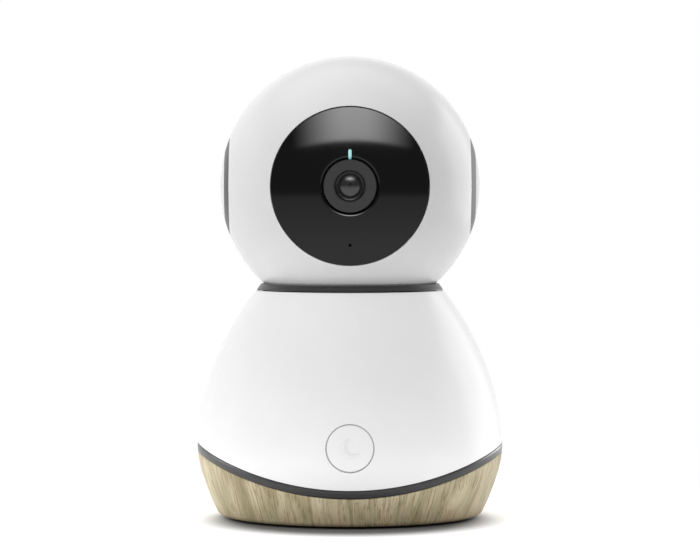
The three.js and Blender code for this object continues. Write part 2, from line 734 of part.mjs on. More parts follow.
screwPlaces.forEach((place, i) => {
  const under = postFront - GAP;
  const screw = join(
    rod(headScrewHeadR, SCREW_HEAD_T, "y", under - SCREW_HEAD_T, place, SMALL),
    rod(SCREW_R, HEAD_SCREW_L - under, "y", under - 0.2, place, SMALL),
  );
  piece("head_screw_" + (i + 1), screw, METAL);
});

// Face panel: a shallow dome with a hole for the lens bezel, a slit for the light and a pinhole.
const panelHoleR = BEZEL_R + BEZEL_RING_GAP;
const lightLow = BEZEL_R + 0.4;
function facePanel() {
  const steps = 3;
  const domed = Array.from({ length: steps + 1 }, (_, i) => {
    const r = (FACE_R * i) / steps;
    return [r, FACE_T - GAP + FACE_DOME * (1 - (r / FACE_R) ** 2)];
  }).reverse();
  const disc = turned([[0, 0], [FACE_R, 0], ...domed], {
    axis: "y",
    at: [0, faceBack, headZ],
    segments: SHELL,
    mirror: true,
  });
  const slitTop = lightLow + LIGHT_L + GAP;
  return cut(
    disc,
    rod(panelHoleR, 10, "y", faceY - 5, [0, headZ]),
    block([LIGHT_W + 2 * GAP, 10, slitTop - BEZEL_R], [0, faceY, headZ + (slitTop + BEZEL_R) / 2]),
    rod(MIC_HOLE_R, 10, "y", faceY - 5, [0, micZ], 8),
  );
}
piece("face_panel", facePanel(), GLOSS_BLACK);

const bezelFront = faceY - FACE_DOME - 0.2;
const bezelBack = seatFront + 1.4;
function lensBezel() {
  const depth = bezelBack - bezelFront;
  const profile = [
    [BEZEL_R, 0],
    [BEZEL_R, depth],
    [BEZEL_HOLE_R + 0.3, depth],
    [BEZEL_HOLE_R, depth - 0.5],
    [BEZEL_HOLE_R, 0],
  ];
  return turned(profile, { axis: "y", at: [0, bezelBack, headZ], segments: ROUND, mirror: true });
}
piece("lens_bezel", lensBezel(), CHARCOAL);

const barrelR = BEZEL_HOLE_R - GAP;
const mountFront = bezelBack + GAP;
const mountBack = mountFront + 8;
function lensBarrel() {
  return cut(
    join(
      rod(barrelR, mountFront - bezelFront - 1.4, "y", bezelFront + 1.6, [0, headZ]),
      rod(BEZEL_R - 0.6, 8, "y", mountFront, [0, headZ]),
    ),
    rod(LENS_R + GAP, 3.6, "y", bezelFront, [0, headZ]),
  );
}
piece("lens_barrel", lensBarrel(), DARK);
const lensBack = bezelFront + 3.3;
piece(
  "front_lens",
  turned([[0, 0], [LENS_R, 0], [LENS_R, 0.4], [LENS_R * 0.72, 1.1], [LENS_R * 0.38, 1.45], [0, 1.55]], {
    axis: "y",
    at: [0, lensBack, headZ],
    segments: ROUND,
    mirror: true,
  }),
  LENS,
);
const sensorBoard = Math.min(SENSOR_BOARD, 2 * (postX - POST_R - GAP));
const sensorBoardY = mountBack + GAP + SMALL_BOARD_T / 2;
piece("sensor_board", block([sensorBoard, SMALL_BOARD_T, sensorBoard], [0, sensorBoardY, headZ]), BOARD);

const irY = seatFront + 1.8;
const irBoardR = postsR - POST_R - 4 * GAP;
const irHoleR = BEZEL_R + 1.4;
piece("ir_board", tube(irBoardR, irHoleR, IR_BOARD_T, "y", irY, [0, headZ]), BOARD);
for (const [side, sign] of [["left", -1], ["right", 1]]) {
  const ledX = (sign * (irBoardR + irHoleR)) / 2;
  piece("ir_led_" + side, rod(LED_R, LED_L, "y", irY - GAP - LED_L, [ledX, headZ], SMALL), LENS);
}
piece(
  "status_light",
  block([LIGHT_W, irY - GAP - bezelFront, LIGHT_L], [
    0,
    (irY - GAP + bezelFront) / 2,
    headZ + lightLow + LIGHT_L / 2,
  ]),
  LIGHT,
);
piece("microphone", rod(MIC_R, MIC_T, "y", faceBack + GAP, [0, micZ], SMALL), METAL);

// ---- ears ----
function earRing(sign) {
  const bushOut = AXLE_R + GAP + BUSH_T;
  const web = EAR_WEB_X + EAR_WEB_T;
  const lip = EAR_WEB_X + 0.9;
  const profile = [
    [bushOut + GAP, EAR_WEB_X - 4],
    [bushOut + GAP + 2, EAR_WEB_X - 4],
    [bushOut + GAP + 2, EAR_WEB_X],
    [sphereAt(lip, headInner) - EAR_FLANGE_CLEAR, EAR_WEB_X],
    [sphereAt(lip, headInner) - EAR_FLANGE_CLEAR, lip],
    [EAR_R, lip],
    ...arcPoints(HEAD_R, EAR_R, EAR_CAP_R + GAP, 2),
    [EAR_CAP_R + GAP, web],
    [bushOut + GAP, web],
  ];
  return turned(profile, { axis: "x", at: [0, 0, headZ], segments: ROUND, mirror: sign < 0 });
}

function earCap(sign) {
  const back = EAR_WEB_X + EAR_WEB_T + GAP;
  const profile = [[0, back], [EAR_CAP_R, back], ...arcPoints(HEAD_R, EAR_CAP_R, 0, 3)];
  return turned(profile, { axis: "x", at: [0, 0, headZ], segments: ROUND, mirror: sign < 0 });
}

for (const [side, sign] of [["left", -1], ["right", 1]]) {
  piece("ear_ring_" + side, earRing(sign), CHARCOAL);
  piece("ear_cap_" + side, earCap(sign), WHITE);
  const length = axleEnd - bushX;
  const start = sign > 0 ? bushX : -bushX - length;
  piece(
    "tilt_bush_" + side,
    tube(AXLE_R + GAP + BUSH_T, AXLE_R + GAP, length, "x", start, [0, headZ]),
    BRASS,
  );
}

// ---- tilt drive in the head ----
const pinionZ = headZ + tiltCentres;
const tiltMotorX = tiltGearX - MOTOR_SET_BACK;
const tiltShaftX = tiltMotorX - TILT_SHAFT_DEEP;
piece(
  "tilt_motor",
  cut(
    rod(MOTOR_R, TILT_MOTOR_L, "x", tiltMotorX - TILT_MOTOR_L, [0, pinionZ + SHAFT_OFFSET]),
    rod(SHAFT_R + GAP, TILT_SHAFT_DEEP + 1, "x", tiltShaftX, [0, pinionZ], SMALL),
  ),
  METAL,
);
piece(
  "tilt_pinion",
  join(
    gear(TILT_PINION_TEETH, TILT_GEAR_T, "x", [tiltGearX, 0, pinionZ], gapTurn(TILT_PINION_TEETH)),
    rod(SHAFT_R, tiltGearX - tiltShaftX, "x", tiltShaftX + GAP, [0, pinionZ], SMALL),
  ),
  BRASS,
);

export default camera;
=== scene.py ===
import math
from bisect import bisect_left

import bmesh
import bpy
from mathutils import Matrix, Vector


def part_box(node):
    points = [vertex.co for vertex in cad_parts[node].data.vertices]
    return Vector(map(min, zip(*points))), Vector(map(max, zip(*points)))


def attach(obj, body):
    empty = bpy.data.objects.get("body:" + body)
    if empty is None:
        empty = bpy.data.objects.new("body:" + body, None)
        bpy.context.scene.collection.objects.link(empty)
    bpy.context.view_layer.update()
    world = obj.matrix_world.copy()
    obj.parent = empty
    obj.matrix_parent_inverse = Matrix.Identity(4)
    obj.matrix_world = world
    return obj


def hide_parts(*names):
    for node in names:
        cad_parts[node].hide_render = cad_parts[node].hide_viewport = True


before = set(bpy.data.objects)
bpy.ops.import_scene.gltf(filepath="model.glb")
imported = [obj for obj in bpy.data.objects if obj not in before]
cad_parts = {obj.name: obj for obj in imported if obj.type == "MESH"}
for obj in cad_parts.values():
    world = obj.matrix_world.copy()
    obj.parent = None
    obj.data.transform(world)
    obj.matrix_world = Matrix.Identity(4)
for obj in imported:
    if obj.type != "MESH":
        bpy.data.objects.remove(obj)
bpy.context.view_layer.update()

bl_info = {
    "name": "Pan and tilt camera looks",
    "version": (1, 0, 0),
    "blender": (4, 5, 0),
    "location": "3D View > Sidebar > Camera",
    "description": "Fine shells, lens, button, wood-look base and studio of a pan and tilt camera",
    "category": "Object",
}

MM = 0.001


# ---- places read from the frame ----
def low(node):
    return Vector(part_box(node)[0])


def high(node):
    return Vector(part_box(node)[1])


HEAD_R = high("head_rear_shell").y
HEAD_Z = high("head_rear_shell").z - HEAD_R
HEAD = Vector((0, 0, HEAD_Z))
FACE_R = high("face_panel").x
FACE_BACK = -high("face_panel").y
FACE_APEX = -low("face_panel").y
BEZEL_R = high("lens_bezel").x
BEZEL_FRONT = -low("lens_bezel").y
BEZEL_BACK = -high("lens_bezel").y
LENS_R = high("front_lens").x
LENS_BACK = -high("front_lens").y
EAR_CAP_BACK = low("ear_cap_right").x
EAR_CAP_R = high("ear_cap_right").y
LIGHT_LOW = low("status_light")
LIGHT_HIGH = high("status_light")
MIC = (low("microphone") + high("microphone")) / 2
BODY_R = high("trim_band").x
SHOULDER_Z = high("body_shell").z
RIM_Z = low("wood_base_shell").z
NECK_TOP_Z = high("neck_ring").z
NECK_OUT_R = high("neck_ring").x
TRIM_EDGE_Z = high("trim_band").z
BUTTON_Z = (low("front_button").z + high("front_button").z) / 2
USB_LOW = low("usb_inlet")
USB_HIGH = high("usb_inlet")
SPEAKER_Z = (low("speaker").z + high("speaker").z) / 2
SLOT_HALF = high("slot_liner").x - 1.2 * MM

# How finely the large round pieces are turned.
FINE = 224
# How far a point may stand off a surface and still take its true normal, and how well the
# normal then has to agree with its face.
CLOSE, AGREE = 0.03 * MM, 0.93
# Corners closer than this are one, and a profile nearer than this to the axis starts on it.
WELD, ON_AXIS = 1e-7, 1e-6


def length(name, value, description):
    return bpy.props.FloatProperty(
        name=name, description=description, default=value, unit="LENGTH", precision=5
    )


def tint(name, value, description):
    return bpy.props.FloatVectorProperty(
        name=name, description=description, default=sight(value), subtype="COLOR", size=3
    )


def sight(code):
    """The linear colour of an sRGB hex value."""
    parts = [((code >> shift) & 255) / 255 for shift in (16, 8, 0)]
    return tuple(c / 12.92 if c <= 0.04045 else ((c + 0.055) / 1.055) ** 2.4 for c in parts)


# ---- settings ----
class CameraSizes(bpy.types.PropertyGroup):
    wall: length("Shell wall", 2.2 * MM, "Thickness of the ball's shell")
    body_wall: length("Body wall", 2.4 * MM, "Thickness of the body's shell")
    parting: length("Parting gap", 0.12 * MM, "Gap seen between two shells")
    edge: length("Edge round", 0.22 * MM, "Rounding of shell edges")
    foot_r: length("Foot radius", 41.2 * MM, "Radius where the side turns under")
    rim_round: length("Rim round", 1.6 * MM, "Rounding under the side")
    belly_z: length("Belly height", 22.4 * MM, "Height of the widest place")
    shoulder_r: length("Shoulder radius", 28.95 * MM, "Radius at the top of the body")
    saddle_drop: length("Saddle drop", 11.25 * MM, "How far the trim dips at the front")
    trim_height: length("Trim height", 2.5 * MM, "Height of the charcoal band")
    button_r: length("Button radius", 6.9 * MM, "Radius of the front button")
    groove: length("Button groove", 0.32 * MM, "Gap round the front button")
    ear_r: length("Ear radius", 15.05 * MM, "Outer radius of the charcoal ear ring")
    panel_hole: length("Panel hole", 8.6 * MM, "Radius of the hole round the lens bezel")
    bezel_hole: length("Bezel hole", 4.65 * MM, "Radius of the hole in the lens bezel")


class CameraColours(bpy.types.PropertyGroup):
    white: tint("White", 0xF1F1F1, "Polished white ABS")
    charcoal: tint("Charcoal", 0x2D2D2E, "Satin charcoal ABS")
    gloss_black: tint("Gloss black", 0x0B0B0C, "Tinted acrylic face")
    sand: tint("Sand", 0xD7CAAA, "Light wood between the grain")
    oak: tint("Oak", 0xAEA17E, "Middle tone of the wood")
    grain: tint("Grain", 0x71633F, "Dark streaks of the wood")
    blush: tint("Blush", 0xA98A66, "Warm patches low on the wood")
    glow: tint("Status light", 0xB0EAEA, "Pale cyan light guide")
    rubber: tint("Rubber", 0x242424, "Foot ring")
    board: tint("Circuit board", 0x1E5A3C, "Solder mask")
    brass: tint("Brass", 0xC2A467, "Pinions and bushes")
    steel: tint("Steel", 0xBFC1C4, "Motors, screws and axle")
    acetal: tint("Acetal", 0xE6E3DA, "Gears and turntable")


def sizes():
    return bpy.context.scene.camera_sizes


def colour(name):
    return (*getattr(bpy.context.scene.camera_colours, name), 1.0)


# ---- the body's outline, as radius and height ----
def along(points, t):
    """A point of the Bezier curve with these control points."""
    points = [Vector(p) for p in points]
    while len(points) > 1:
        points = [a.lerp(b, t) for a, b in zip(points, points[1:])]
    return points[0]


def outline_curves():
    """Curves round the rim, up to the belly and up to the shoulder."""
    s = sizes()
    side = (s.foot_r, RIM_Z + s.rim_round)
    belly = (BODY_R, s.belly_z)
    top = (s.shoulder_r, SHOULDER_Z)
    slope, pull = 0.78, 19 * MM
    return [
        [(s.foot_r - 1.6 * s.rim_round, RIM_Z), (s.foot_r - 0.7 * MM, RIM_Z), side],
        [side, (side[0] + 4.5 * MM, side[1] + 9 * MM), (BODY_R, belly[1] - 4 * MM), belly],
        [belly, (BODY_R, belly[1] + 9 * MM), (top[0] + pull * slope, top[1] - pull), top],
    ]


class Outline:
    """The body's side, looked up by height."""

    def __init__(self, steps=400):
        self.heights, self.radii, self.normals = [], [], []
        for curve in outline_curves():
            for i in range(steps):
                t = i / steps
                here, ahead = along(curve, t), along(curve, t + 0.5 / steps)
                tangent = (ahead - here).normalized()
                self.heights.append(here.y)
                self.radii.append(here.x)
                self.normals.append((tangent.y, -tangent.x))
        self.heights.append(SHOULDER_Z)
        self.radii.append(sizes().shoulder_r)
        self.normals.append(self.normals[-1])

    def at(self, z):
        """Radius and outward normal (radial, up) at height z."""
        i = min(max(bisect_left(self.heights, z), 1), len(self.heights) - 1)
        gap = self.heights[i] - self.heights[i - 1]
        t = min(max((z - self.heights[i - 1]) / gap, 0), 1) if gap else 0
        radius = self.radii[i - 1] + (self.radii[i] - self.radii[i - 1]) * t
        before, after = self.normals[i - 1], self.normals[i]
        out = before[0] + (after[0] - before[0]) * t
        up = before[1] + (after[1] - before[1]) * t
        return radius, (out, up)

    def front(self, x, z):
        """How far forward the surface stands at this place on the front."""
        return -math.sqrt(max(self.at(z)[0] ** 2 - x**2, 0))

    def normal(self, co):
        """The outward normal at a point on the outer surface."""
        radius, (out, up) = self.at(co.z)
        flat = Vector((co.x, co.y, 0))
        if abs(flat.length - radius) > CLOSE:
            return None
        flat.normalize()
        return Vector((flat.x * out, flat.y * out, up)).normalized()


def saddle_z(x, drop):
    """Height of the level-from-front-to-back saddle that parts white, trim and wood."""
    edge = TRIM_EDGE_Z + 0.1 * MM
    return edge - sizes().saddle_drop * (1 - (x / BODY_R) ** 2) - drop


# ---- mesh helpers ----
def rounded(corners, steps=4):
    """Profile points; a corner given as (radius, height, round) becomes a small arc."""
    spots = [Vector(corner[:2]) for corner in corners]
    points = []
    for i, here in enumerate(spots):
        size = corners[i][2] if len(corners[i]) > 2 else 0
        if not size:
            points.append(here)
            continue
        before = spots[i - 1] - here
        after = spots[(i + 1) % len(spots)] - here
        half = before.angle(after) / 2
        reach = min(size / math.tan(half), before.length * 0.49, after.length * 0.49)
        start = here + before.normalized() * reach
        end = here + after.normalized() * reach
        points += [along([start, here, end], k / steps) for k in range(steps + 1)]
    return points


def arc(radius, start, end, steps):
    """Points (from the axis, along it) of an arc about the origin, angles from the axis."""
    turns = [start + (end - start) * i / steps for i in range(steps + 1)]
    return [(radius * math.sin(a), radius * math.cos(a)) for a in turns]


AXES = {
    "z": Matrix.Identity(4),
    "front": Matrix.Rotation(math.pi / 2, 4, "X"),
    "right": Matrix.Rotation(math.pi / 2, 4, "Y"),
    "left": Matrix.Rotation(-math.pi / 2, 4, "Y"),
}


def full_spin(bm, verts, closed, steps):
    """Turns a profile right round the upright axis."""
    ahead = verts[1:] + verts[:1] if closed else verts[1:]
    edges = [bm.edges.new(pair) for pair in zip(verts, ahead)]
    bmesh.ops.spin(
        bm, geom=verts + edges, cent=(0, 0, 0), axis=(0, 0, 1), dvec=(0, 0, 0),
        angle=2 * math.pi, steps=steps, use_merge=True, use_duplicate=False,
    )
    bmesh.ops.remove_doubles(bm, verts=bm.verts, dist=WELD)
    bmesh.ops.recalc_face_normals(bm, faces=bm.faces)


def finish(bm, name, material=None):
    """A linked object of the mesh, smooth, with its material."""
    for face in bm.faces:
        face.smooth = True
    mesh = bpy.data.meshes.new(name)
    bm.to_mesh(mesh)
    bm.free()
    piece = bpy.data.objects.new(name, mesh)
    bpy.context.scene.collection.objects.link(piece)
    if material:
        mesh.materials.append(material)
    return piece


def lathe(name, corners, material=None, axis="z", at=(0, 0, 0), steps=128):
    """A turned solid: the profile runs from the axis and back, or closes on itself."""
    bm = bmesh.new()
    points = rounded(corners)
    verts = [bm.verts.new((max(x, 0), 0, y)) for x, y in points]
    full_spin(bm, verts, points[0].x > ON_AXIS, steps)
    bm.transform(Matrix.Translation(at) @ AXES[axis])
    bmesh.ops.recalc_face_normals(bm, faces=bm.faces)
    return finish(bm, name, material)


def plug(radius, start, end, axis="z", at=(0, 0, 0), steps=128):
    """A plain round cutter, from start to end along its axis."""
    corners = [(0, start), (radius, start), (radius, end), (0, end)]
    return lathe("plug", corners, None, axis, at, steps)


def bevel(bm, edges, width, segments):
    bmesh.ops.bevel(
        bm, geom=edges, offset=width, affect="EDGES", segments=segments, profile=0.5, material=-1
    )


def rounded_box(name, low_corner, high_corner, size, material=None, segments=3):
    """A box with all its edges rounded."""
    bm = bmesh.new()
    bmesh.ops.create_cube(bm, size=1)
    span = Vector(high_corner) - Vector(low_corner)
    middle = (Vector(high_corner) + Vector(low_corner)) / 2
    bmesh.ops.scale(bm, vec=span, verts=bm.verts)
    bmesh.ops.translate(bm, vec=middle, verts=bm.verts)
    if size:
        bevel(bm, bm.edges[:], size, segments)
    return finish(bm, name, material)


def doubled_face(bm, points):
    """Makes a flat face, extrudes it in place and gives the corners to move."""
    face = bm.faces.new([bm.verts.new(point) for point in points])
    made = bmesh.ops.extrude_face_region(bm, geom=[face])["geom"]
    return [v for v in made if isinstance(v, bmesh.types.BMVert)]


def combine(piece, others, operation="DIFFERENCE"):
    """Cuts the other solids out of the piece, or joins them to it, and removes them."""
    for other in others:
        step = piece.modifiers.new("solid", "BOOLEAN")
        step.operation = operation
        step.solver = "EXACT"
        step.object = other
    bpy.context.view_layer.update()
    graph = bpy.context.evaluated_depsgraph_get()
    made = bpy.data.meshes.new_from_object(piece.evaluated_get(graph))
    piece.modifiers.clear()
    piece.data = made
    for other in others:
        mesh = other.data
        bpy.data.objects.remove(other)
        bpy.data.meshes.remove(mesh)


def soften(piece, width, keep, segments=2):
    """Rounds the sharp edges that keep(middle) picks."""
    least = math.radians(40)
    bm = bmesh.new()
    bm.from_mesh(piece.data)
    bmesh.ops.remove_doubles(bm, verts=bm.verts, dist=0.02 * MM)
    bmesh.ops.dissolve_degenerate(bm, edges=bm.edges[:], dist=0.01 * MM)
    sharp = [
        e
        for e in bm.edges
        if len(e.link_faces) == 2
        and e.calc_face_angle(0) > least
        and keep((e.verts[0].co + e.verts[1].co) / 2)
    ]
    bevel(bm, sharp, width, segments)
    for face in bm.faces:
        face.smooth = True
    bm.to_mesh(piece.data)
    bm.free()


def place(piece, body, slot, *nodes, surface=None, angle=38):
    """Shades the piece, and makes it ride a body and replace nodes; the slot is not used.

    It is smooth up to the angle, with true normals where surface() knows them.
    """
    mesh = piece.data
    mesh.set_sharp_from_angle(angle=math.radians(angle))
    if surface:
        corner = [n.vector.copy() for n in mesh.corner_normals]
        for face in mesh.polygons:
            for i in face.loop_indices:
                true = surface(mesh.vertices[mesh.loops[i].vertex_index].co)
                if true is not None and true.dot(face.normal) > AGREE:
                    corner[i] = true
        mesh.normals_split_custom_set(corner)
    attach(piece, body)
    if nodes:
        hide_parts(*nodes)


def on_ball(co):
    """The ball's outward normal at a point on its outer surface."""
    out = co - HEAD
    return None if abs(out.length - HEAD_R) > CLOSE else out.normalized()


# ---- materials ----
def feed(holder, node, inputs):
    """Puts values on a node's sockets; an output, or a node's first output, is linked."""
    for key, value in inputs.items():
        if isinstance(value, bpy.types.Node):
            value = value.outputs[0]
        if isinstance(value, bpy.types.NodeSocket):
            holder.node_tree.links.new(value, node.inputs[key])
        else:
            node.inputs[key].default_value = value


def add(holder, kind, inputs=None, stops=(), **settings):
    """Adds one node with its settings, values, links and colour stops."""
    made = holder.node_tree.nodes.new("ShaderNode" + kind)
    for key, value in settings.items():
        setattr(made, key, value)
    feed(holder, made, inputs or {})
    if stops:
        band = made.color_ramp.elements
        while len(band) < len(stops):
            band.new(0.5)
        for element, (at, value) in zip(band, stops):
            element.position = at
            element.color = value
    return made


def surface_material(name, **values):
    """A material with one principled shader and these plain values on its sockets."""
    material = bpy.data.materials.get(name)
    if material:
        return material, None
    material = bpy.data.materials.new(name)
    material.use_nodes = True
    shader = material.node_tree.nodes["Principled BSDF"]
    feed(material, shader, {key.replace("_", " "): value for key, value in values.items()})
    return material, shader


def shade(value, factor):
    return (*[c * factor for c in value[:3]], 1.0)


def moulded(name, base, roughness, spread, peel_mm, peel, **values):
    """Moulded plastic: a faint cloudiness in the gloss and colour and a fine surface waviness."""
    material, shader = surface_material(name, Roughness=roughness, **values)
    if shader is None:
        return material
    spot = add(material, "TexCoord").outputs["Object"]
    cloudy = {"Vector": spot, "Scale": 1 / (9 * MM), "Detail": 3.0, "Roughness": 0.6}
    cloud = add(material, "TexNoise", cloudy)
    tone = add(material, "ValToRGB", {"Fac": cloud}, [(0.3, shade(base, 0.985)), (0.7, base)])
    span = {"To Min": roughness - spread, "To Max": roughness + spread}
    gloss = add(material, "MapRange", {"Value": cloud, **span})
    fine = add(material, "TexNoise", {"Vector": spot, "Scale": 1 / (peel_mm * MM), "Detail": 2.0})
    bump = add(material, "Bump", {"Height": fine, "Strength": peel, "Distance": 0.05 * MM})
    feed(material, shader, {"Base Color": tone, "Roughness": gloss, "Normal": bump})
    return material


def white_abs():
    # Polished injection-moulded ABS: a soft clear highlight over a clean, faintly wavy white.
    return moulded("White ABS, polished", colour("white"), 0.24, 0.03, 1.6, 0.05, IOR=1.53)


def charcoal_abs():
    # Satin-moulded ABS: grey sheen where it turns away, fine spark-eroded grain close up.
    return moulded("Charcoal ABS, satin", colour("charcoal"), 0.36, 0.05, 0.35, 0.18, IOR=1.53)


def trim_abs():
    # Painted ABS band: dark from the front, with a clear sheen where it turns away.
    base = shade(colour("charcoal"), 0.7)
    return moulded("Painted ABS, satin", base, 0.3, 0.03, 0.4, 0.06, IOR=1.55)


def bezel_abs():
    # Finely eroded ABS: an even, dull grey disc that keeps glare out of the lens.
    base = shade(colour("charcoal"), 1.25)
    return moulded("Charcoal ABS, matt", base, 0.55, 0.05, 0.25, 0.3, IOR=1.5)


def face_acrylic():
    # Infra-red-passing acrylic, polished: near black, with mirror-clear reflections.
    return moulded("Tinted acrylic", colour("gloss_black"), 0.045, 0.015, 6.0, 0.02, IOR=1.49)


def dark_abs():
    # Unpainted structural ABS: plain dark, dull, hardly seen.
    return moulded("Black ABS, plain", shade(colour("charcoal"), 0.45), 0.5, 0.06, 0.5, 0.2)


def barrel_black():
    # Black anodised aluminium: dark, with a thin bright line where its edge turns.
    return moulded("Black anodised aluminium", shade(colour("charcoal"), 0.5), 0.2, 0.04, 0.6, 0.1)


def foot_rubber():
    # Moulded silicone rubber: soft, matt, fine grained.
    return moulded("Silicone rubber", colour("rubber"), 0.78, 0.06, 0.3, 0.4)


def acetal():
    # Acetal gears: ivory white, waxy.
    return moulded("Acetal", colour("acetal"), 0.42, 0.05, 0.6, 0.1)


def board_laminate():
    # Solder-masked glass-epoxy board: semi-gloss green, faintly cloudy.
    return moulded("Solder-masked laminate", colour("board"), 0.35, 0.05, 1.2, 0.3)


def metal(name, base, roughness, spread=0.08):
    """Machined metal: fine lay marks that stretch its highlights."""
    material, shader = surface_material(name, Metallic=1.0, Roughness=roughness)
    if shader is None:
        return material
    spot = add(material, "TexCoord").outputs["Object"]
    marks = add(material, "TexNoise", {"Vector": spot, "Scale": 1 / (0.5 * MM), "Detail": 4.0})
    tone = add(material, "ValToRGB", {"Fac": marks}, [(0.35, shade(base, 0.85)), (0.65, base)])
    span = {"To Min": roughness - spread, "To Max": roughness + spread}
    gloss = add(material, "MapRange", {"Value": marks, **span})
    feed(material, shader, {"Base Color": tone, "Roughness": gloss})
    return material


def steel():
    # Zinc-plated steel: cool grey, softly mirrored.
    return metal("Zinc-plated steel", colour("steel"), 0.32)


def brass():
    # Turned brass: warm yellow.
    return metal("Turned brass", colour("brass"), 0.28)


def light_guide():
    # Milky acrylic light guide, lit: pale cyan that glows a little and dims towards its foot.
    material, shader = surface_material(
        "Lit acrylic guide", Roughness=0.35, IOR=1.49, Emission_Strength=0.3
    )
    if shader is None:
        return material
    spot = add(material, "TexCoord").outputs["Object"]
    height = add(material, "SeparateXYZ", {"Vector": spot}).outputs["Z"]
    foot = LIGHT_LOW.z - 0.6 * MM
    up = add(material, "MapRange", {"Value": height, "From Min": foot, "From Max": foot + 1.3 * MM})
    stops = [(0.0, (*sight(0x2E8288), 1)), (1.0, colour("glow"))]
    lit = add(material, "ValToRGB", {"Fac": up}, stops)
    feed(material, shader, {"Base Color": lit, "Emission Color": lit})
    return material


def lens_glass():
    # Coated lens glass: clear reflections; the iris and inner rings show through as faint bands.
    material, shader = surface_material(
        "Coated lens glass", Roughness=0.25, IOR=1.75, Coat_Weight=0.7, Coat_Roughness=0.07
    )
    if shader is None:
        return material
    spot = add(material, "TexCoord").outputs["Object"]
    middle = (0.0, 0.0, HEAD_Z)
    centred = add(material, "VectorMath", {0: spot, 1: middle}, operation="SUBTRACT")
    flat = add(material, "VectorMath", {0: centred, 1: (1.0, 0.0, 1.0)}, operation="MULTIPLY")
    reach = add(material, "VectorMath", {0: flat}, operation="LENGTH").outputs["Value"]
    part = add(material, "Math", {0: reach, 1: LENS_R}, operation="DIVIDE")
    bands = [
        (0.0, 0x050507), (0.30, 0x08080B), (0.36, 0x26262C), (0.42, 0x0B0B0F), (0.60, 0x101014),
        (0.66, 0x2E2E34), (0.72, 0x141418), (0.90, 0x1C1C20), (1.0, 0x2A2A2E),
    ]
    stops = [(at, (*sight(code), 1)) for at, code in bands]
    feed(material, shader, {"Base Color": add(material, "ValToRGB", {"Fac": part}, stops)})
    return material


def wood_look():
    # Pale oak film on a moulded shell: upright fibres that follow the side, satin lacquer.
    material, shader = surface_material("Pale oak, satin lacquer", IOR=1.5)
    if shader is None:
        return material
    spot = add(material, "TexCoord").outputs["Object"]
    split = add(material, "SeparateXYZ", {"Vector": spot}).outputs
    # The fibres keep to one angle round the body, so they draw together towards the foot.
    level = add(material, "CombineXYZ", {"X": split["X"], "Y": split["Y"], "Z": 0.0})
    way = add(material, "VectorMath", {0: level}, operation="NORMALIZE")
    girth = add(material, "VectorMath", {0: way, "Scale": BODY_R}, operation="SCALE")
    wander = add(material, "TexNoise", {"Vector": spot, "Scale": 1 / (14 * MM), "Detail": 2.0})
    apart = {0: wander.outputs["Color"], 1: (0.5, 0.5, 0.5)}
    sway = add(material, "VectorMath", apart, operation="SUBTRACT")
    swayed = add(material, "VectorMath", {0: sway, "Scale": 3.2 * MM}, operation="SCALE")
    base = add(material, "VectorMath", {0: girth, 1: swayed})
    lift = add(material, "CombineXYZ", {"X": 0.0, "Y": 0.0, "Z": split["Z"]})
    # Noise drawn out along the height: the width in millimetres, stretch and detail of streaks.
    streaks = []
    for width, stretch, detail in ((9.0, 3.0, 2.0), (2.4, 16.0, 3.0), (0.62, 26.0, 3.0)):
        raised = add(material, "VectorMath", {0: lift, "Scale": 1 / stretch}, operation="SCALE")
        where = add(material, "VectorMath", {0: base, 1: raised})
        drawn = {"Vector": where, "Scale": 1 / (width * MM), "Detail": detail, "Roughness": 0.6}
        streaks.append(add(material, "TexNoise", drawn))
    broad, middling, fine = streaks
    ground = [(0.32, colour("oak")), (0.62, colour("sand"))]
    tone = add(material, "ValToRGB", {"Fac": broad}, ground)
    near_foot = {"Value": split["Z"], "From Min": 7 * MM, "From Max": 1 * MM}
    lowness = add(material, "MapRange", near_foot)
    # Dark streaks, fine lines, and warm patches low down.
    for source, start, end, most, part, name in (
        (middling, 0.50, 0.66, 1, 0.42, "grain"),
        (fine, 0.52, 0.62, 1, 0.55, "grain"),
        (broad, 0.46, 0.6, 0.6, lowness, "blush"),
    ):
        stops = [(start, (0, 0, 0, 1)), (end, (most, most, most, 1))]
        shape = add(material, "ValToRGB", {"Fac": source}, stops)
        amount = add(material, "Math", {0: shape, 1: part}, operation="MULTIPLY")
        tone = add(material, "MixRGB", {"Fac": amount, "Color1": tone, "Color2": colour(name)})
    gloss = add(material, "MapRange", {"Value": middling, "To Min": 0.42, "To Max": 0.58})
    bump = add(material, "Bump", {"Height": fine, "Strength": 0.35, "Distance": 0.12 * MM})
    feed(material, shader, {"Base Color": tone, "Roughness": gloss, "Normal": bump})
    return material


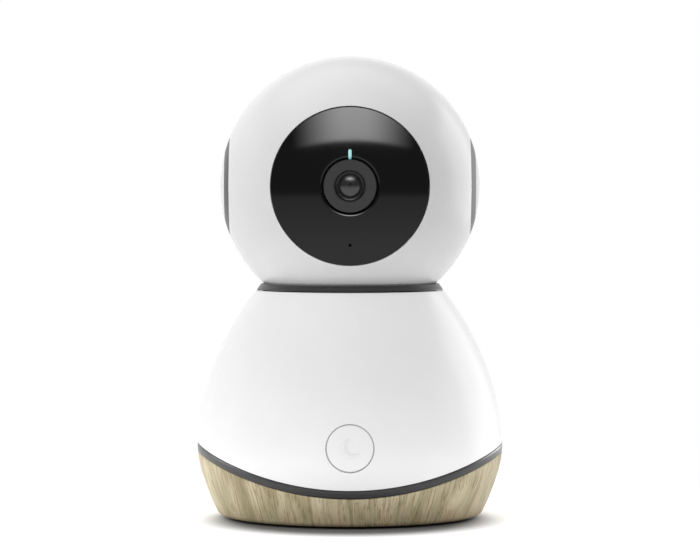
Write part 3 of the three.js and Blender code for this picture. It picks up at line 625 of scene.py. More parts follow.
def floor_paper():
    # Matt studio paper on a light table, with a painted contact shadow: painted grey close round
    # the foot and not glowing there, running out to pure white.
    material, shader = surface_material(
        "Studio paper", Roughness=0.9, Specular_IOR_Level=0.1, Emission_Color=(1, 1, 1, 1)
    )
    if shader is None:
        return material
    spot = add(material, "TexCoord").outputs["Object"]
    tooth = add(material, "TexNoise", {"Vector": spot, "Scale": 400.0})
    pale, grey = (*sight(0xF7F7F7), 1), (*sight(0x595959), 1)
    tone = add(material, "ValToRGB", {"Fac": tooth}, [(0.3, shade(pale, 0.99)), (0.7, pale)])
    oval = {0: spot, 1: (1.07, 1.0, 1.0), 2: (0.0, 12 * MM, 0.0)}
    squeezed = add(material, "VectorMath", oval, operation="MULTIPLY_ADD")
    reach = add(material, "VectorMath", {0: squeezed}, operation="LENGTH").outputs["Value"]
    # Painted shadow: the paper is painted grey in an oval close round the foot, in place of a
    # deeper contact shadow.
    near = {"Value": reach, "From Min": 34 * MM, "From Max": 54 * MM, "To Min": 0.1}
    painted_shadow = add(material, "MapRange", near, interpolation_type="SMOOTHSTEP")
    toned = add(material, "MixRGB", {"Fac": painted_shadow, "Color1": grey, "Color2": tone})
    # Painted shadow too: the glow that whitens the paper starts only away from the foot, so close
    # round it the paper stays darker.
    beyond = {"Value": reach, "From Min": 37 * MM, "From Max": 54.5 * MM, "To Max": 0.45}
    glow = add(material, "MapRange", beyond, interpolation_type="SMOOTHSTEP")
    feed(material, shader, {"Base Color": toned, "Emission Strength": glow})
    return material


# ---- head ----
def head_front():
    s = sizes()
    inner = HEAD_R - s.wall
    opening = FACE_R + 0.2 * MM
    seat, ledge = FACE_BACK - 0.15 * MM, 2 * MM
    face_turn = math.asin(opening / HEAD_R)
    seam = s.parting / 2
    outer = arc(HEAD_R, face_turn, math.acos(seam / HEAD_R), 60)
    ledge_turn = math.acos((seat - ledge) / inner)
    inside = arc(inner, math.acos(seam / inner), ledge_turn, 24)
    corners = [(*outer[0], s.edge * 1.4), *outer[1:-1], (*outer[-1], s.edge * 0.5), *inside]
    ledge_r = opening - 2.2 * MM
    corners += [(ledge_r, seat - ledge), (ledge_r, seat), (opening, seat)]
    return lathe("ball_front_shell", corners, white_abs(), "front", HEAD, FINE)


def head_rear():
    s = sizes()
    inner = HEAD_R - s.wall
    seam = s.parting / 2
    outer = arc(HEAD_R, math.pi, math.pi - math.acos(seam / HEAD_R), 72)
    inside = arc(inner, math.pi - math.acos(seam / inner), math.pi, 24)
    corners = [*outer[:-1], (*outer[-1], s.edge * 0.5), *inside]
    return lathe("ball_rear_shell", corners, white_abs(), "front", HEAD, FINE)


def slot_cutter():
    """The stem's sweep through the ball, a little narrower than its liner."""
    lowest, highest = math.radians(-20), math.radians(60)
    half, start, out = 5.6 * MM, 30 * MM, HEAD_R + 3 * MM
    turn = math.asin(half / out)

    def at(angle, radius, off):
        return (
            math.sin(angle) * radius + math.cos(angle) * off,
            HEAD_Z - math.cos(angle) * radius + math.sin(angle) * off,
        )

    reach = math.sqrt(out**2 - half**2)
    steps = 40
    first, last = lowest - turn, highest + turn
    points = [at(lowest, start, -half), at(lowest, reach, -half)]
    points += [at(first + (last - first) * i / steps, out, 0) for i in range(1, steps)]
    points += [at(highest, reach, half), at(highest, start, half)]
    bm = bmesh.new()
    moved = doubled_face(bm, [(-SLOT_HALF, y, z) for y, z in points])
    bmesh.ops.translate(bm, vec=(2 * SLOT_HALF, 0, 0), verts=moved)
    bmesh.ops.recalc_face_normals(bm, faces=bm.faces)
    return finish(bm, "slot_cutter")


def at_opening(middle):
    """Whether an edge of the ball's shell belongs to its slot or to an ear's opening."""
    out = middle - HEAD
    at_seam = abs(out.y) < 0.12 * MM
    at_face = out.y < MM - FACE_BACK
    return out.length > HEAD_R - 0.4 * MM and not at_seam and not at_face


class CAMERA_OT_ball(bpy.types.Operator):
    """Makes the two white half shells of the ball"""

    bl_idname = "camera_parts.ball"
    bl_label = "Ball shells"

    def execute(self, context):
        hole, start, end = sizes().ear_r + 0.1 * MM, 30 * MM, 45 * MM
        for build, node in ((head_front, "head_front_shell"), (head_rear, "head_rear_shell")):
            piece = build()
            ears = [plug(hole, start, end, side, HEAD) for side in ("right", "left")]
            combine(piece, [slot_cutter(), *ears])
            soften(piece, sizes().edge * 0.8, at_opening)
            place(piece, "head", "white_abs", node, surface=on_ball)
        return {"FINISHED"}


def panel_rise(rho):
    """How far the domed face stands out from the ball's centre at this radius."""
    rim = FACE_APEX - 0.75 * MM
    apex = FACE_APEX + 0.1 * MM
    sag = apex - rim
    bend = (FACE_R**2 + sag**2) / (2 * sag)
    return apex - (bend - math.sqrt(bend**2 - rho**2)), bend, apex


class CAMERA_OT_face(bpy.types.Operator):
    """Makes the gloss face panel with its lens hole, light slit and microphone hole"""

    bl_idname = "camera_parts.face"
    bl_label = "Face panel"

    def execute(self, context):
        s = sizes()
        hole = s.panel_hole
        chamfer = 0.65 * MM
        steps = 40
        radii = [hole + chamfer + (FACE_R - hole - chamfer) * i / steps for i in range(steps + 1)]
        dome = [(r, panel_rise(r)[0]) for r in reversed(radii)]
        corners = [(hole, FACE_BACK), (FACE_R, FACE_BACK), (*dome[0], s.edge * 1.3), *dome[1:]]
        corners.append((hole, dome[-1][1] - chamfer * 0.13, 0.03 * MM))
        piece = lathe("face_lens_panel", corners, face_acrylic(), "front", HEAD, FINE)
        front, back = -45 * MM, -20 * MM
        slit_low = (LIGHT_LOW.x, front, LIGHT_LOW.z - 1.0 * MM)
        slit_high = (LIGHT_HIGH.x, back, LIGHT_HIGH.z)
        slit = rounded_box("slit", slit_low, slit_high, 0.6 * MM)
        pinhole = plug(0.5 * MM, 0, 50 * MM, "front", (MIC.x, 0, MIC.z), 24)
        combine(piece, [slit, pinhole])
        bend, apex = panel_rise(0)[1:]
        middle = HEAD + Vector((0, bend - apex, 0))

        def on_dome(co):
            out = co - middle
            return None if abs(out.length - bend) > 0.004 * MM else out.normalized()

        place(piece, "head", "face_gloss", "face_panel", surface=on_dome, angle=30)
        return {"FINISHED"}


class CAMERA_OT_lens(bpy.types.Operator):
    """Makes the lens bezel, barrel and glass, and the status light"""

    bl_idname = "camera_parts.lens"
    bl_label = "Lens"

    def bezel(self):
        s = sizes()
        front, back = BEZEL_FRONT - 0.15 * MM, BEZEL_BACK
        hole = s.bezel_hole
        corners = [
            (BEZEL_R, back),
            (BEZEL_R, front, 0.22 * MM),
            (hole + 0.3 * MM, front + 0.02 * MM, 0.1 * MM),
            (hole, front - 0.3 * MM, 0.1 * MM),
            (hole, back),
        ]
        piece = lathe("lens_bezel_ring", corners, bezel_abs(), "front", HEAD)
        place(piece, "head", "charcoal_abs", "lens_bezel")

    def barrel(self):
        """Stepped black baffle rings round the glass, and the mount behind."""
        tip = -low("lens_barrel").y
        back = -high("lens_barrel").y
        shoulder = BEZEL_BACK - 0.3 * MM
        r = sizes().bezel_hole - 0.3 * MM
        wide = high("lens_barrel").x
        floor = LENS_BACK - 0.4 * MM
        corners = [(0, back), (wide, back), (wide, shoulder, 0.2 * MM), (r, shoulder)]
        corners += [(r, tip, 0.1 * MM), (r - 0.55 * MM, tip - 0.12 * MM, 0.1 * MM)]
        corners += [(r - 0.55 * MM, floor), (0, floor)]
        piece = lathe("lens_barrel_body", corners, barrel_black(), "front", HEAD)
        place(piece, "head", "dark_plastic", "lens_barrel")

    def glass(self):
        """A strongly domed front element."""
        r = LENS_R
        apex = -low("front_lens").y
        sag = 0.8 * MM
        bend = (r**2 + sag**2) / (2 * sag)
        turn = math.asin(min(r / bend, 1))
        dome = [(x, y - bend + apex) for x, y in arc(bend, turn, 0, 24)]
        points = [(0, LENS_BACK), (r, LENS_BACK), *dome]
        piece = lathe("front_glass", points, lens_glass(), "front", HEAD, 96)
        place(piece, "head", "lens_glass", "front_lens", angle=50)

    def lamp(self):
        """The lit guide: a short bar with round ends, just proud of the panel."""
        s = sizes()
        inset = 0.16 * MM
        top = Vector((LIGHT_HIGH.x - inset, LIGHT_HIGH.y, LIGHT_HIGH.z - inset))
        foot_z = s.panel_hole + HEAD_Z - 0.7 * MM
        bottom = Vector((LIGHT_LOW.x + inset, LIGHT_LOW.y, foot_z))
        piece = rounded_box("status_light_guide", bottom, top, 0.48 * MM, light_guide(), 6)
        place(piece, "head", "status_light", "status_light", angle=60)

    def execute(self, context):
        self.bezel()
        self.barrel()
        self.glass()
        self.lamp()
        return {"FINISHED"}


class CAMERA_OT_ears(bpy.types.Operator):
    """Makes the charcoal ring and white cap on each side of the ball"""

    bl_idname = "camera_parts.ears"
    bl_label = "Ears"

    def execute(self, context):
        s = sizes()
        cap_r = EAR_CAP_R + 0.1 * MM
        for side in ("right", "left"):
            outer = arc(HEAD_R, math.asin(s.ear_r / HEAD_R), math.asin(cap_r / HEAD_R), 8)
            hub, web, foot = 5.1 * MM, EAR_CAP_BACK - 0.3 * MM, 33 * MM
            spigot, neck = foot - 4 * MM, hub + 2 * MM
            corners = [(hub, spigot), (neck, spigot), (neck, foot), (s.ear_r, foot)]
            corners += [(*outer[0], s.edge), *outer[1:-1], (*outer[-1], s.edge * 0.7)]
            corners += [(outer[-1][0], web), (hub, web)]
            ring = lathe(f"ear_ring_{side}_moulded", corners, charcoal_abs(), side, HEAD)
            place(ring, "head", "charcoal_abs", "ear_ring_" + side, surface=on_ball)
            dome = arc(HEAD_R, math.asin((cap_r - s.parting) / HEAD_R), 0, 24)
            corners = [(0, EAR_CAP_BACK), (dome[0][0], EAR_CAP_BACK), (*dome[0], s.edge), *dome[1:]]
            cap = lathe(f"ear_cap_{side}_moulded", corners, white_abs(), side, HEAD)
            place(cap, "head", "white_abs", "ear_cap_" + side, surface=on_ball)
        return {"FINISHED"}


# ---- body ----
def shell_band(name, material, outline, lower, upper, rows, edge, top_wall=None):
    """A band of the body's shell between two edges; lower and upper give a height for x.

    The profile is a loop whose corners hold a share of the height, a shift up and a depth
    in from the outline. It is spun as a plain ring, and then each corner takes its place.
    """
    wall = sizes().body_wall
    thinner = wall - (top_wall or wall)
    bm = bmesh.new()
    share = bm.verts.layers.float.new("share")
    shift = bm.verts.layers.float.new("shift")
    depth = bm.verts.layers.float.new("depth")
    round_edge = [
        (edge * (1 - math.sin(i * math.pi / 6)), edge * (1 - math.cos(i * math.pi / 6)))
        for i in (3, 2, 1, 0)
    ]
    profile = [(0, up, inward) for up, inward in round_edge]
    profile += [(i / rows, 0, 0) for i in range(1, rows)]
    profile += [(1, -up, inward) for up, inward in round_edge]
    inner_rows = max(3, rows // 3)
    for i in range(inner_rows + 1):
        part = 1 - i / inner_rows
        profile.append((part, 0, wall - thinner * max(0, part - 0.8) / 0.2))
    verts = []
    for i, (part, offset, inward) in enumerate(profile):
        angle = i / len(profile) * 2 * math.pi
        vert = bm.verts.new((2 + 0.5 * math.cos(angle), 0, 0.5 * math.sin(angle)))
        vert[share], vert[shift], vert[depth] = part, offset, inward
        verts.append(vert)
    full_spin(bm, verts, True, FINE)
    for vert in bm.verts:
        turn = math.atan2(vert.co.y, vert.co.x)
        radius = BODY_R
        # The edges' heights hang on x, and x on the radius there, so a few rounds settle both.
        for _ in range(6):
            x = radius * math.cos(turn)
            bottom, top = lower(x), upper(x)
            z = bottom + (top - bottom) * vert[share] + vert[shift]
            radius = outline.at(z)[0]
        radius, (out, up) = outline.at(z)
        reach = radius - out * vert[depth]
        vert.co = (math.cos(turn) * reach, math.sin(turn) * reach, z - up * vert[depth])
    bmesh.ops.recalc_face_normals(bm, faces=bm.faces)
    return finish(bm, name, material)


class CAMERA_OT_body(bpy.types.Operator):
    """Makes the white bell-shaped shell with its button hole, inlet and grille"""

    bl_idname = "camera_parts.body"
    bl_label = "Body shell"

    def execute(self, context):
        s = sizes()
        gap = s.parting / 2
        outline = Outline()
        piece = shell_band(
            "body_bell_shell",
            white_abs(),
            outline,
            lambda x: saddle_z(x, -gap),
            lambda x: SHOULDER_Z + 0.1 * MM,
            60,
            0.2 * MM,
            1.2 * MM,
        )
        spot = (0, 0, BUTTON_Z)
        cutters = [plug(s.button_r + s.groove, 30 * MM, 60 * MM, "front", spot)]
        room = 0.3 * MM
        inlet_low = (USB_LOW.x - room, 38 * MM, USB_LOW.z - room)
        inlet_high = (USB_HIGH.x + room, 55 * MM, USB_HIGH.z + room)
        cutters.append(rounded_box("inlet_cutter", inlet_low, inlet_high, 1.2 * MM))
        # Five upright speaker slots.
        for i in range(5):
            x, half_wide, half_tall = (i - 2) * 3.2 * MM, 0.7 * MM, 6 * MM
            slot_low = (x - half_wide, 35 * MM, SPEAKER_Z - half_tall)
            slot_high = (x + half_wide, 55 * MM, SPEAKER_Z + half_tall)
            cutters.append(rounded_box("slot_cutter", slot_low, slot_high, 0.65 * MM))
        combine(piece, cutters)

        def opening(middle):
            outward = math.hypot(middle.x, middle.y)
            radius = outline.at(middle.z)[0]
            near_edge = middle.z < saddle_z(middle.x, 0) + 0.6 * MM or middle.z > SHOULDER_Z - MM
            return outward > radius - 0.3 * MM and not near_edge

        soften(piece, 0.2 * MM, opening, 3)
        place(piece, "base", "white_abs", "body_shell", surface=outline.normal)
        return {"FINISHED"}


class CAMERA_OT_trim(bpy.types.Operator):
    """Makes the charcoal band and the neck ring with its cup"""

    bl_idname = "camera_parts.trim"
    bl_label = "Trim"

    def execute(self, context):
        s = sizes()
        outline = Outline()
        gap = s.parting / 2
        band = shell_band(
            "charcoal_trim_band",
            trim_abs(),
            outline,
            lambda x: saddle_z(x, s.trim_height - gap),
            lambda x: saddle_z(x, gap),
            6,
            0.18 * MM,
        )
        place(band, "base", "charcoal_abs", "trim_band", surface=outline.normal)
        cup_in, cup_out = HEAD_R + 0.35 * MM, HEAD_R + 1.95 * MM
        lip = math.sqrt(cup_in**2 - (HEAD_Z - NECK_TOP_Z) ** 2)
        hole = 19.5 * MM
        step_z = NECK_TOP_Z - 1.75 * MM
        step_r = math.sqrt(cup_out**2 - (HEAD_Z - step_z) ** 2)
        hole_turn, lip_turn = math.asin(hole / cup_in), math.asin(lip / cup_in)
        inside = arc(cup_in, math.pi - hole_turn, math.pi - lip_turn, 12)
        step_turn, foot_turn = math.asin(step_r / cup_out), math.asin(hole / cup_out)
        outside = arc(cup_out, math.pi - step_turn, math.pi - foot_turn, 12)
        corners = [(x, HEAD_Z + y) for x, y in inside[:-1]]
        corners += [(lip, NECK_TOP_Z, 0.12 * MM), (lip + 0.6 * MM, NECK_TOP_Z, 0.22 * MM)]
        corners += [(NECK_OUT_R + 0.02 * MM, step_z, 0.18 * MM)]
        corners += [(x, HEAD_Z + y) for x, y in outside]
        ring = lathe("neck_ring_and_cup", corners, charcoal_abs(), steps=FINE)
        place(ring, "base", "charcoal_abs", "neck_ring")
        return {"FINISHED"}


class CAMERA_OT_wood(bpy.types.Operator):
    """Makes the wood-look lower shell"""

    bl_idname = "camera_parts.wood"
    bl_label = "Wood-look base"

    def execute(self, context):
        s = sizes()
        outline = Outline()
        gap = s.parting / 2
        piece = shell_band(
            "oak_base_shell",
            wood_look(),
            outline,
            lambda x: RIM_Z,
            lambda x: saddle_z(x, s.trim_height + gap),
            30,
            0.15 * MM,
        )
        place(piece, "base", "wood_look", "wood_base_shell", surface=outline.normal)
        return {"FINISHED"}


class CAMERA_OT_button(bpy.types.Operator):
    """Makes the front button, which follows the body's curve, with a raised crescent"""

    bl_idname = "camera_parts.button"
    bl_label = "Front button"

    def cap(self, outline):
        s = sizes()
        bm = bmesh.new()
        depth = bm.verts.layers.float.new("depth")
        r, edge = s.button_r, 0.3 * MM
        rings = [(r * i / 14, 0) for i in range(14)]
        turns = [i / 4 * math.pi / 2 for i in range(5)]
        rings += [(r - edge + edge * math.sin(a), edge * (1 - math.cos(a))) for a in turns]
        step, back, brim = 0.95 * MM, 2.2 * MM, r + s.groove * 0.85
        rings += [(r, step), (brim, step), (brim, back), (0, back)]
        verts = []
        for i, (radius, inward) in enumerate(rings):
            vert = bm.verts.new((radius, 0, -inward - i * 1e-6))
            vert[depth] = inward
            verts.append(vert)
        full_spin(bm, verts, False, 96)
        for vert in bm.verts:
            x, z = vert.co.x, BUTTON_Z + vert.co.y
            vert.co = (x, outline.front(x, z) + vert[depth], z)
        bmesh.ops.recalc_face_normals(bm, faces=bm.faces)
        return finish(bm, "front_button_cap", white_abs())

    def crescent(self, outline):
        """A plain crescent, raised a hair's breadth."""
        bm = bmesh.new()
        r, inner, offset = 2.9 * MM, 2.4 * MM, 1.35 * MM
        meet = math.acos((r**2 + offset**2 - inner**2) / (2 * r * offset))
        back = math.atan2(r * math.sin(meet), r * math.cos(meet) - offset)
        count = 24
        lean = math.radians(-35)
        outer = [meet + (2 * math.pi - 2 * meet) * i / count for i in range(count + 1)]
        points = [(r * math.cos(a), r * math.sin(a)) for a in outer]
        turns = [2 * math.pi - back - (2 * math.pi - 2 * back) * i / count for i in range(1, count)]
        points += [(offset + inner * math.cos(a), inner * math.sin(a)) for a in turns]
        lifted = set(doubled_face(bm, [(x, 0, z) for x, z in points]))
        bmesh.ops.rotate(bm, verts=bm.verts, matrix=Matrix.Rotation(lean, 3, "Y"))
        for vert in bm.verts:
            x, z = vert.co.x, BUTTON_Z + vert.co.z
            raise_by = 0.24 * MM if vert in lifted else -0.3 * MM
            vert.co = (x, outline.front(x, z) - raise_by, z)
        bmesh.ops.recalc_face_normals(bm, faces=bm.faces)
        return finish(bm, "crescent_mark", white_abs())

    def execute(self, context):
        outline = Outline()
        cap = self.cap(outline)
        place(cap, "button", "white_abs", "front_button", surface=outline.normal)
        mark = self.crescent(outline)
        soften(mark, 0.08 * MM, lambda middle: True)
        place(mark, "button", "white_abs", angle=25)
        return {"FINISHED"}


# ---- underside and rear ----
class CAMERA_OT_underside(bpy.types.Operator):
    """Makes the rubber foot ring, bottom plate and its screws"""

    bl_idname = "camera_parts.underside"
    bl_label = "Underside"

    def execute(self, context):
        outer, top = high("foot_ring").x, high("foot_ring").z
        inner = outer - 4 * MM
        corners = [(inner, 0, 0.5 * MM), (outer, 0, 0.5 * MM), (outer, top), (inner, top)]
        ring = lathe("rubber_foot_ring", corners, foot_rubber(), steps=160)
        place(ring, "base", "rubber", "foot_ring")
        r, low_z, high_z = high("base_plate").x, low("base_plate").z, high("base_plate").z
        gap, groove_top = 0.3 * MM, top + 0.3 * MM
        corners = [(0, low_z), (inner - gap, low_z, 0.2 * MM), (inner - gap, groove_top)]
        corners += [(outer + gap, groove_top), (outer + gap, low_z, 0.2 * MM)]
        corners += [(r, low_z, 0.25 * MM), (r, high_z), (0, high_z)]
        plate = lathe("bottom_plate", corners, dark_abs(), steps=160)
        wells = []
        for i in range(1, 5):
            head = (low(f"base_screw_{i}") + high(f"base_screw_{i}")) / 2
            wells.append(plug(2.5 * MM, -MM, 2 * MM, "z", (head.x, head.y, 0), 48))
        combine(plate, wells)
        place(plate, "base", "dark_plastic", "base_plate", angle=30)
        for i in range(1, 5):
            self.screw(i)
        return {"FINISHED"}

    def screw(self, i):
        node = f"base_screw_{i}"
        middle = (low(node) + high(node)) / 2
        bottom, tip = low(node).z, high(node).z
        head_r, shank = 2.15 * MM, 1.1 * MM
        corners = [(0, bottom), (head_r - 0.7 * MM, bottom, 0.4 * MM)]
        corners += [(head_r, bottom + 0.55 * MM, 0.2 * MM), (head_r, bottom + MM)]
        corners += [(shank, bottom + MM), (shank, tip - MM), (0, tip)]
        piece = lathe(f"bottom_screw_{i}", corners, steel(), "z", (middle.x, middle.y, 0), 48)
        arms = []
        for wide, deep in ((1.25 * MM, 0.28 * MM), (0.28 * MM, 1.25 * MM)):
            corner = Vector((wide, deep, 0.7 * MM))
            centre = Vector((middle.x, middle.y, bottom))
            arms.append(rounded_box("arm", centre - corner, centre + corner, 0))
        combine(piece, arms)
        place(piece, "base", "steel", node)


class CAMERA_OT_inlet(bpy.types.Operator):
    """Makes the power inlet's rounded metal shell and its tongue"""

    bl_idname = "camera_parts.inlet"
    bl_label = "Power inlet"

    def execute(self, context):
        shell = rounded_box("power_inlet", USB_LOW, USB_HIGH, 1.25 * MM, steel(), 6)
        wall = Vector((0.35 * MM, 0, 0.35 * MM))
        mouth_low = USB_LOW + wall + Vector((0, 2.5 * MM, 0))
        mouth_high = USB_HIGH - wall + Vector((0, 3 * MM, 0))
        combine(shell, [rounded_box("mouth", mouth_low, mouth_high, 0.95 * MM, None, 6)])
        middle = (USB_LOW.z + USB_HIGH.z) / 2
        aside, thick = 1.4 * MM, 0.35 * MM
        tongue_low = (USB_LOW.x + aside, USB_LOW.y + 1 * MM, middle - thick)
        tongue_high = (USB_HIGH.x - aside, USB_HIGH.y - 1 * MM, middle + thick)
        combine(shell, [rounded_box("tongue", tongue_low, tongue_high, 0.12 * MM)], "UNION")
        place(shell, "base", "steel", "usb_inlet")
        return {"FINISHED"}


# ---- pieces kept from the frame ----
HEAD_SCREWS = tuple(f"head_screw_{i}" for i in range(1, 5))
MOTORS = ("pan_motor", "tilt_motor")
KEPT = {
    charcoal_abs: ("slot_liner",),
    dark_abs: ("chassis", "tilt_yoke", "tact_switch", "speaker", "microphone"),
    board_laminate: ("main_board", "sensor_board", "ir_board", "button_board", "wifi_antenna"),
    steel: (*MOTORS, *HEAD_SCREWS, "pan_bearing", "pan_retainer", "tilt_axle", "processor_shield"),
    acetal: ("turntable", "pan_gear", "tilt_gear", "harness_socket"),
    brass: ("pan_pinion", "tilt_pinion", "tilt_bush_left", "tilt_bush_right"),
    lens_glass: ("ir_led_left", "ir_led_right"),
    foot_rubber: ("wire_harness",),
}


class CAMERA_OT_inside(bpy.types.Operator):
    """Gives the working parts inside their real finishes"""

    bl_idname = "camera_parts.inside"
    bl_label = "Inside parts"

    def execute(self, context):
        for make, names in KEPT.items():
            for name in names:
                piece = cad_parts[name]
                piece.data.materials.clear()
                piece.data.materials.append(make())
        return {"FINISHED"}


# ---- stage ----
# How bright the surround in front is, to what mirrors it.
FRONT_LEVEL = 0.14
# What the lamps are turned to.
AIM = Vector((0, 0, 0.07))
# How far off the view stands, the height that it looks at and the width that it takes in there.
VIEW_AWAY, VIEW_HEIGHT, VIEW_WIDE = 0.96, 72.95 * MM, 216.31644 * MM


def softbox(name, at, wide, tall, watts):
    data = bpy.data.lights.new(name, "AREA")
    data.shape = "RECTANGLE"
    data.size, data.size_y, data.energy = wide, tall, watts
    lamp = bpy.data.objects.new(name, data)
    bpy.context.scene.collection.objects.link(lamp)
    lamp.location = at
    lamp.rotation_euler = (AIM - Vector(at)).to_track_quat("-Z", "Y").to_euler()
    return lamp


def only_on(source, pieces):
    """Keeps a lamp or a glowing panel to these pieces."""
    lit = bpy.data.collections.new(source.name)
    for piece in pieces:
        lit.objects.link(bpy.data.objects[piece])
    source.light_linking.receiver_collection = lit


def studio_world():
    """White all round; what the gloss mirrors is dim in front and bright behind."""
    world = bpy.data.worlds.new("Studio")
    world.use_nodes = True
    back = world.node_tree.nodes["Background"]
    way = add(world, "TexCoord").outputs["Generated"]
    split = add(world, "SeparateXYZ", {"Vector": way}).outputs
    level = {}
    # Each runs along an axis, from one place to another and from one brightness to another.
    for name, axis, start, end, first, last in (
        ("high up", "Z", 0.45, 0.9, 0, 0.85),
        ("horizon", "Z", -0.006, -0.03, 0, 0.5),
        ("below", "Z", -0.03, -0.14, 0, 0.26),
        ("behind", "Y", -0.45, 0.35, FRONT_LEVEL, 1.05),
        ("dimmed", "Z", 0.3, 0.7, 1, 0.3),
        ("rise", "Z", -0.15, 0.45, 0.04, 1.13),
        ("overhead", "Z", 0.5, 1, 1, 0.4),
        ("from left", "X", -1, 1, 1.36, 0.96),
    ):
        run = {"From Min": start, "From Max": end, "To Min": first, "To Max": last}
        run["Value"] = split[axis]
        level[name] = add(world, "MapRange", run, interpolation_type="SMOOTHSTEP")
    for name, operation, one, other in (
        ("low down", "ADD", "horizon", "below"),
        ("behind", "MULTIPLY", "behind", "dimmed"),
        ("ends", "ADD", "high up", "low down"),
        ("mirrored", "MAXIMUM", "behind", "ends"),
        ("rise", "MULTIPLY", "rise", "overhead"),
        ("soft", "MULTIPLY", "from left", "rise"),
    ):
        level[name] = add(world, "Math", {0: level[one], 1: level[other]}, operation=operation)
    rays = add(world, "LightPath").outputs
    shares = {"Factor": rays["Is Glossy Ray"], "A": level["soft"], "B": level["mirrored"]}
    mixed = add(world, "Mix", shares)
    seen = add(world, "Math", {0: mixed, 1: rays["Is Camera Ray"]}, operation="MAXIMUM")
    feed(world, back, {"Strength": seen, "Color": (1, 1, 1, 1)})
    bpy.context.scene.world = world


def reflector(name, mirrors, at, wide, tall, sill, arch, strength):
    """A glowing panel with soft sides and an arched foot, mirrored only in these pieces."""
    bm = bmesh.new()
    bmesh.ops.create_grid(bm, x_segments=1, y_segments=1, size=0.5)
    bmesh.ops.scale(bm, vec=(wide, tall, 1), verts=bm.verts)
    bmesh.ops.rotate(bm, verts=bm.verts, matrix=Matrix.Rotation(math.pi / 2, 3, "X"))
    bmesh.ops.rotate(bm, verts=bm.verts, matrix=Matrix.Rotation(math.pi, 3, "Z"))
    bmesh.ops.translate(bm, vec=at, verts=bm.verts)
    glass = bpy.data.materials.new(name)
    glass.use_nodes = True
    glass.node_tree.nodes.clear()
    spot = add(glass, "TexCoord").outputs["Object"]
    split = add(glass, "SeparateXYZ", {"Vector": spot}).outputs
    across = add(glass, "Math", {0: split["X"], 1: at[0]}, operation="SUBTRACT")
    aside = add(glass, "Math", {0: across}, operation="ABSOLUTE")
    square = add(glass, "Math", {0: aside, 1: aside}, operation="MULTIPLY")
    arched = add(glass, "Math", {0: square, 1: arch, 2: split["Z"]}, operation="MULTIPLY_ADD")
    fade = {"Value": aside, "From Min": wide * 0.5, "From Max": wide * 0.05}
    sides = add(glass, "MapRange", fade, interpolation_type="SMOOTHSTEP")
    soft = {"Value": arched, "From Min": sill, "From Max": sill + 0.03}
    foot = add(glass, "MapRange", soft, interpolation_type="SMOOTHSTEP")
    climb = {"Value": arched, "From Min": sill, "From Max": sill + 0.3}
    rise = add(glass, "MapRange", {**climb, "To Min": strength * 0.72, "To Max": strength})
    edges = add(glass, "Math", {0: sides, 1: foot}, operation="MULTIPLY")
    shaped = add(glass, "Math", {0: edges, 1: rise}, operation="MULTIPLY")
    glow = add(glass, "Math", {0: shaped, 1: FRONT_LEVEL}, operation="MAXIMUM")
    light = add(glass, "Emission", {"Color": (1, 1, 1, 1), "Strength": glow})
    add(glass, "OutputMaterial", {"Surface": light})
    panel = finish(bm, name, glass)
    panel.visible_camera = False
    panel.visible_diffuse = False
    panel.visible_shadow = False
    only_on(panel, mirrors)


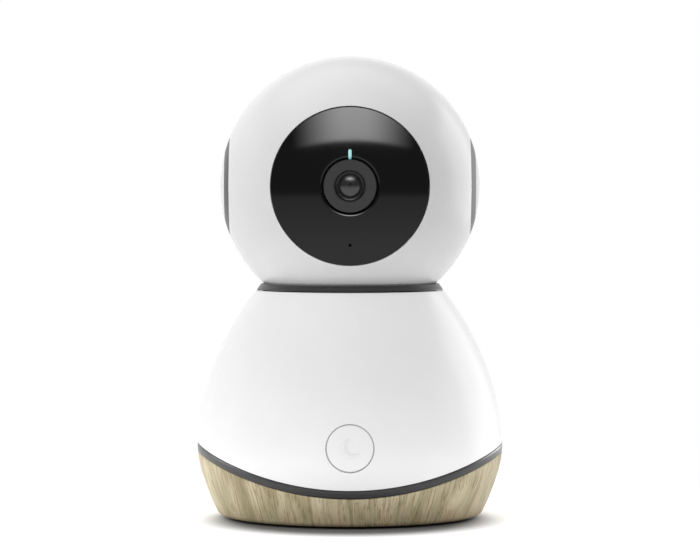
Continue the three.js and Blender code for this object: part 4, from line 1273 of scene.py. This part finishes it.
class CAMERA_OT_stage(bpy.types.Operator):
    """Makes the floor, the soft lights, the white surroundings and the view"""

    bl_idname = "camera_parts.stage"
    bl_label = "Studio"

    def floor(self):
        bm = bmesh.new()
        bmesh.ops.create_circle(bm, cap_ends=True, segments=128, radius=150 * MM)
        floor = finish(bm, "paper_floor", floor_paper())

    def lamps(self):
        trim = ("charcoal_trim_band", "neck_ring_and_cup")
        front = ("body_bell_shell", "front_button_cap")
        ear = ("ear_ring_right_moulded", "ear_cap_right_moulded")
        right = ("ball_front_shell", "ball_rear_shell", "body_bell_shell", *ear)
        # Name, place, width, height, watts, whether gloss mirrors it, and what it is kept to.
        for name, at, wide, tall, watts, mirrored, pieces in (
            ("key light", (-1.2, -0.35, 0.42), 0.6, 0.5, 2.5, False, ()),
            ("body fill", (0.9, -0.9, 0.5), 0.5, 0.5, 1.3, False, front),
            ("right rim", (1.0, 0.65, 0.3), 0.9, 1.0, 3.4, True, right),
            ("left sheen", (-1.2, 0.15, 0.1), 0.9, 0.35, 4.2, True, trim),
            ("right sheen", (0.9, 0.75, 0.1), 0.9, 0.35, 4.0, True, trim),
        ):
            lamp = softbox(name, at, wide, tall, watts)
            lamp.visible_glossy = mirrored
            if pieces:
                only_on(lamp, pieces)

    def view(self):
        data = bpy.data.cameras.new("View")
        data.sensor_width = 36
        data.lens = VIEW_AWAY / VIEW_WIDE * data.sensor_width
        data.clip_start, data.clip_end = 0.05, 20
        camera = bpy.data.objects.new("View", data)
        bpy.context.scene.collection.objects.link(camera)
        camera.location = (0, -VIEW_AWAY, HEAD_Z)
        turned = Vector((0, 0, VIEW_HEIGHT)) - camera.location
        camera.rotation_euler = turned.to_track_quat("-Z", "Y").to_euler()
        bpy.context.scene.camera = camera

    def execute(self, context):
        context.scene.view_settings.view_transform = "Standard"
        studio_world()
        self.floor()
        self.lamps()
        # Name, pieces, place, width, height, sill, how far the foot arches, and strength.
        face = ("face_lens_panel", "lens_bezel_ring", "lens_barrel_body")
        reflector("front glow", face, (0.02, -2.5, 0.55), 0.74, 0.7, 0.34, 0.45, 8.4)
        upper = ("front_glass", "lens_barrel_body")
        reflector("upper glow", upper, (0, -1.5, 1.0), 1.5, 0.4, 0.8, 0, 5.0)
        self.view()
        return {"FINISHED"}


# ---- add-on ----
class CAMERA_PT_parts(bpy.types.Panel):
    bl_label = "Camera"
    bl_idname = "CAMERA_PT_parts"
    bl_space_type = "VIEW_3D"
    bl_region_type = "UI"
    bl_category = "Camera"

    def draw(self, context):
        for step in STEPS:
            self.layout.operator(step.bl_idname)
        for group in (context.scene.camera_sizes, context.scene.camera_colours):
            column = self.layout.column(align=True)
            for name in group.__annotations__:
                column.prop(group, name)


STEPS = (
    CAMERA_OT_ball,
    CAMERA_OT_face,
    CAMERA_OT_lens,
    CAMERA_OT_ears,
    CAMERA_OT_body,
    CAMERA_OT_trim,
    CAMERA_OT_wood,
    CAMERA_OT_button,
    CAMERA_OT_underside,
    CAMERA_OT_inlet,
    CAMERA_OT_inside,
    CAMERA_OT_stage,
)
CLASSES = (CameraSizes, CameraColours, *STEPS, CAMERA_PT_parts)


def register():
    for made in CLASSES:
        bpy.utils.register_class(made)
    bpy.types.Scene.camera_sizes = bpy.props.PointerProperty(type=CameraSizes)
    bpy.types.Scene.camera_colours = bpy.props.PointerProperty(type=CameraColours)


def unregister():
    del bpy.types.Scene.camera_colours
    del bpy.types.Scene.camera_sizes
    for made in reversed(CLASSES):
        bpy.utils.unregister_class(made)


def main():
    register()
    for step in STEPS:
        group, name = step.bl_idname.split(".")
        getattr(getattr(bpy.ops, group), name)()


if __name__ == "__main__":
    main()
